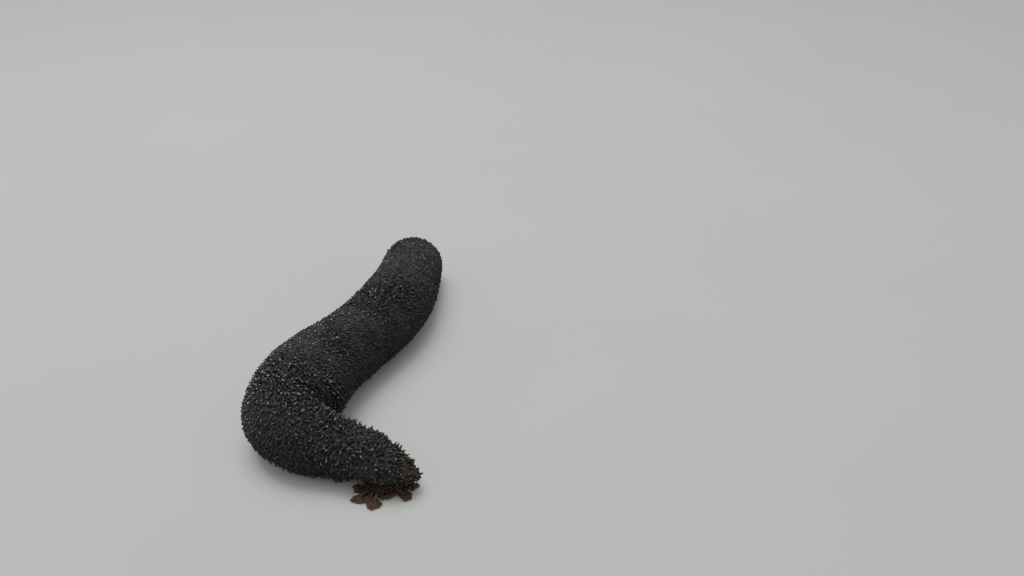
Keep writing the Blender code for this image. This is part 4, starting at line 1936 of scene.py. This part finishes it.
@dataclass(frozen=True)
class Flesh:
    """The finish of one kind of flesh.

    Attributes:
        name: The material's name.
        black: The flesh's main colour.
        brown: What it turns to where it is rusty.
        pale: The colour of the palest tips.
        cool_pale: What some of them have instead.
        pale_from: The share of a growth's height where its tip begins to pale.
        roughness: Mean roughness.
        specular: Strength of the gloss.
        grain: Cells of the fine relief in a metre.
        depth: The fine relief's depth.
    """

    name: str
    black: Colour
    brown: Colour
    pale: Colour
    cool_pale: Colour
    pale_from: float
    roughness: float
    specular: float
    grain: float
    depth: float

    def make(self) -> bpy.types.Material:
        """Markings into colour and roughness, and grain into the normal.

        Returns:
            The material.
        """
        material = bpy.data.materials.new(self.name)
        material.use_nodes = True
        tree = material.node_tree
        shader = tree.nodes["Principled BSDF"]
        where = put(tree, "ShaderNodeTexCoord", {}).outputs["Object"]
        known = {
            label: put(tree, "ShaderNodeAttribute", {}, attribute_name=name).outputs["Fac"]
            for label, name in (("Rise", RISE), ("Pallor", PALLOR), ("Rust", RUST))
        }
        wanted = {
            "Position": where,
            "Black": self.black,
            "Brown": self.brown,
            "Pale": self.pale,
            "Cool Pale": self.cool_pale,
            "Pale From": self.pale_from,
            "Roughness": self.roughness,
        }
        groups = bpy.data.node_groups
        markings_group, grain_group = groups[Effect.MARKINGS.value], groups[Effect.GRAIN.value]
        markings = put(tree, "ShaderNodeGroup", wanted | known, node_tree=markings_group)
        grain = {"Position": where, "Scale": self.grain}
        height = put(tree, "ShaderNodeGroup", grain, node_tree=grain_group).outputs["Height"]
        bump = put(tree, "ShaderNodeBump", {"Height": height, "Distance": self.depth})
        tree.links.new(markings.outputs["Color"], shader.inputs["Base Color"])
        tree.links.new(markings.outputs["Roughness"], shader.inputs["Roughness"])
        tree.links.new(bump.outputs["Normal"], shader.inputs["Normal"])
        shader.inputs["Specular IOR Level"].default_value = self.specular
        return material


SKIN_FLESH = Flesh(
    name="black_skin",
    black=(0.0190, 0.0190, 0.0198, 1.0),
    brown=(0.0300, 0.0210, 0.0170, 1.0),
    pale=(0.16, 0.13, 0.12, 1.0),
    cool_pale=(0.13, 0.13, 0.14, 1.0),
    pale_from=0.6,
    roughness=0.85,
    specular=0.10,
    grain=1100.0,
    depth=0.25 * MM,
)
PAPILLA_FLESH = Flesh(
    name="papillae",
    black=(0.0198, 0.0200, 0.0210, 1.0),
    brown=(0.0340, 0.0235, 0.0190, 1.0),
    pale=(0.47, 0.345, 0.31, 1.0),
    cool_pale=(0.34, 0.36, 0.39, 1.0),
    pale_from=0.55,
    roughness=0.70,
    specular=0.14,
    grain=2200.0,
    depth=0.10 * MM,
)
FOOT_FLESH = Flesh(
    name="tube_feet",
    black=(0.030, 0.025, 0.022, 1.0),
    brown=(0.050, 0.031, 0.022, 1.0),
    pale=(0.26, 0.20, 0.16, 1.0),
    cool_pale=(0.22, 0.20, 0.18, 1.0),
    pale_from=0.7,
    roughness=0.5,
    specular=0.4,
    grain=2200.0,
    depth=0.08 * MM,
)
FEELER_FLESH = Flesh(
    name="rusty_feelers",
    black=(0.020, 0.015, 0.012, 1.0),
    brown=(0.038, 0.022, 0.0145, 1.0),
    pale=(0.135, 0.072, 0.052, 1.0),
    cool_pale=(0.062, 0.044, 0.034, 1.0),
    pale_from=0.5,
    roughness=0.55,
    specular=0.25,
    grain=1800.0,
    depth=0.10 * MM,
)


@dataclass(frozen=True)
class Studio:
    """The plain pale floor, soft light from above and a little behind on the left, and the camera.

    Attributes:
        eye: Where the camera stands.
        pitch: How far it looks down, in degrees.
        lens: Its focal length, in millimetres.
        sensor: Width of its sensor, in millimetres.
        clip_start: The nearest that it sees.
        floor_size: Side of the floor.
        floor_colour: Colour of the floor.
        floor_shade: How much darker its mottle is.
        floor_mottle: Where it is darker.
        floor_roughness: Its roughness.
        sky_colour: Colour of the light from all round.
        sky_strength: Strength of that light.
        key_place: Where the main lamp hangs.
        key_size: Its side.
        key_power: Its power, in watts.
        fill_place: Where the second lamp hangs.
        fill_size: Its side.
        fill_power: Its power, in watts.
    """

    eye: Triple = (0.0917, -0.5431, 0.34138)
    pitch: float = 28.0
    lens: float = 38.67
    sensor: float = 36.0
    clip_start: float = 0.01
    floor_size: float = 60.0
    floor_colour: Colour = (0.36, 0.36, 0.34, 1.0)
    floor_shade: float = 0.96
    floor_mottle: Mottle = Mottle(6.0)
    floor_roughness: float = 0.9
    sky_colour: Colour = (0.89, 0.95, 0.95, 1.0)
    sky_strength: float = 1.05
    key_place: Triple = (-0.25, 0.40, 1.25)
    key_size: float = 1.0
    key_power: float = 25.0
    fill_place: Triple = (-0.9, -0.9, 0.9)
    fill_size: float = 1.2
    fill_power: float = 3.0

    def add_light(self, name: str, place: Triple, size: float, power: float) -> None:
        """Hangs a square lamp that faces the origin.

        Args:
            name: Its name.
            place: Where it hangs.
            size: Its side.
            power: Its power, in watts.
        """
        data = bpy.data.lights.new(name, "AREA")
        data.size = size
        data.energy = power
        light = bpy.data.objects.new(name, data)
        light.location = place
        light.rotation_euler = (-Vector(place)).to_track_quat("-Z", "Y").to_euler()
        bpy.context.scene.collection.objects.link(light)

    def add_floor(self) -> None:
        """One large square at z = 0, faintly mottled."""
        half = self.floor_size / 2
        points = np.array([[-half, -half, 0.0], [half, -half, 0.0], [half, half, 0.0], [-half, half, 0.0]])
        material = bpy.data.materials.new("pale_floor")
        material.use_nodes = True
        tree = material.node_tree
        shader = tree.nodes["Principled BSDF"]
        where = put(tree, "ShaderNodeTexCoord", {}).outputs["Object"]
        share = self.floor_mottle.over(tree, where)
        darker = tuple(self.floor_shade * part for part in self.floor_colour[:3]) + (1.0,)
        tree.links.new(mix_colour(tree, share, darker, self.floor_colour), shader.inputs["Base Color"])
        shader.inputs["Roughness"].default_value = self.floor_roughness
        floor = Shell(points, [np.array([[0, 1, 2, 3]])], {}).make_object("floor", material)

    def add_camera(self) -> None:
        """The photograph's camera: it looks along +Y and down."""
        data = bpy.data.cameras.new("camera")
        data.lens = self.lens
        data.sensor_width = self.sensor
        data.clip_start = self.clip_start
        data.clip_end = 2 * self.floor_size
        camera = bpy.data.objects.new("camera", data)
        camera.location = self.eye
        camera.rotation_euler = (math.radians(90 - self.pitch), 0.0, 0.0)
        bpy.context.scene.collection.objects.link(camera)
        bpy.context.scene.camera = camera

    def build(self) -> None:
        """Sets up the floor, the light from all round, the two lamps and the camera."""
        world = bpy.data.worlds.new("studio")
        bpy.context.scene.world = world
        world.use_nodes = True
        background = world.node_tree.nodes["Background"]
        background.inputs["Color"].default_value = self.sky_colour
        background.inputs["Strength"].default_value = self.sky_strength
        self.add_floor()
        self.add_light("key_light", self.key_place, self.key_size, self.key_power)
        self.add_light("fill_light", self.fill_place, self.fill_size, self.fill_power)
        self.add_camera()


def main() -> None:
    """Builds the skin, the papillae, the tube feet, the crown and the studio, in that order."""
    logging.basicConfig(level=logging.INFO, format="%(message)s")
    Markings().make()
    Grain().make()
    form = BodyForm()
    skin = Skin(form)
    crown = FeelerCrown(form)
    papillae = Papillae(skin, crown)
    grid = skin.base.moved(papillae.mounds())
    skin.build(grid, SKIN_FLESH.make())
    papillae.build(grid, PAPILLA_FLESH.make())
    TubeFeet(skin).build(grid, FOOT_FLESH.make())
    crown.build(FEELER_FLESH.make())
    Studio().build()


if __name__ == "__main__":
    main()
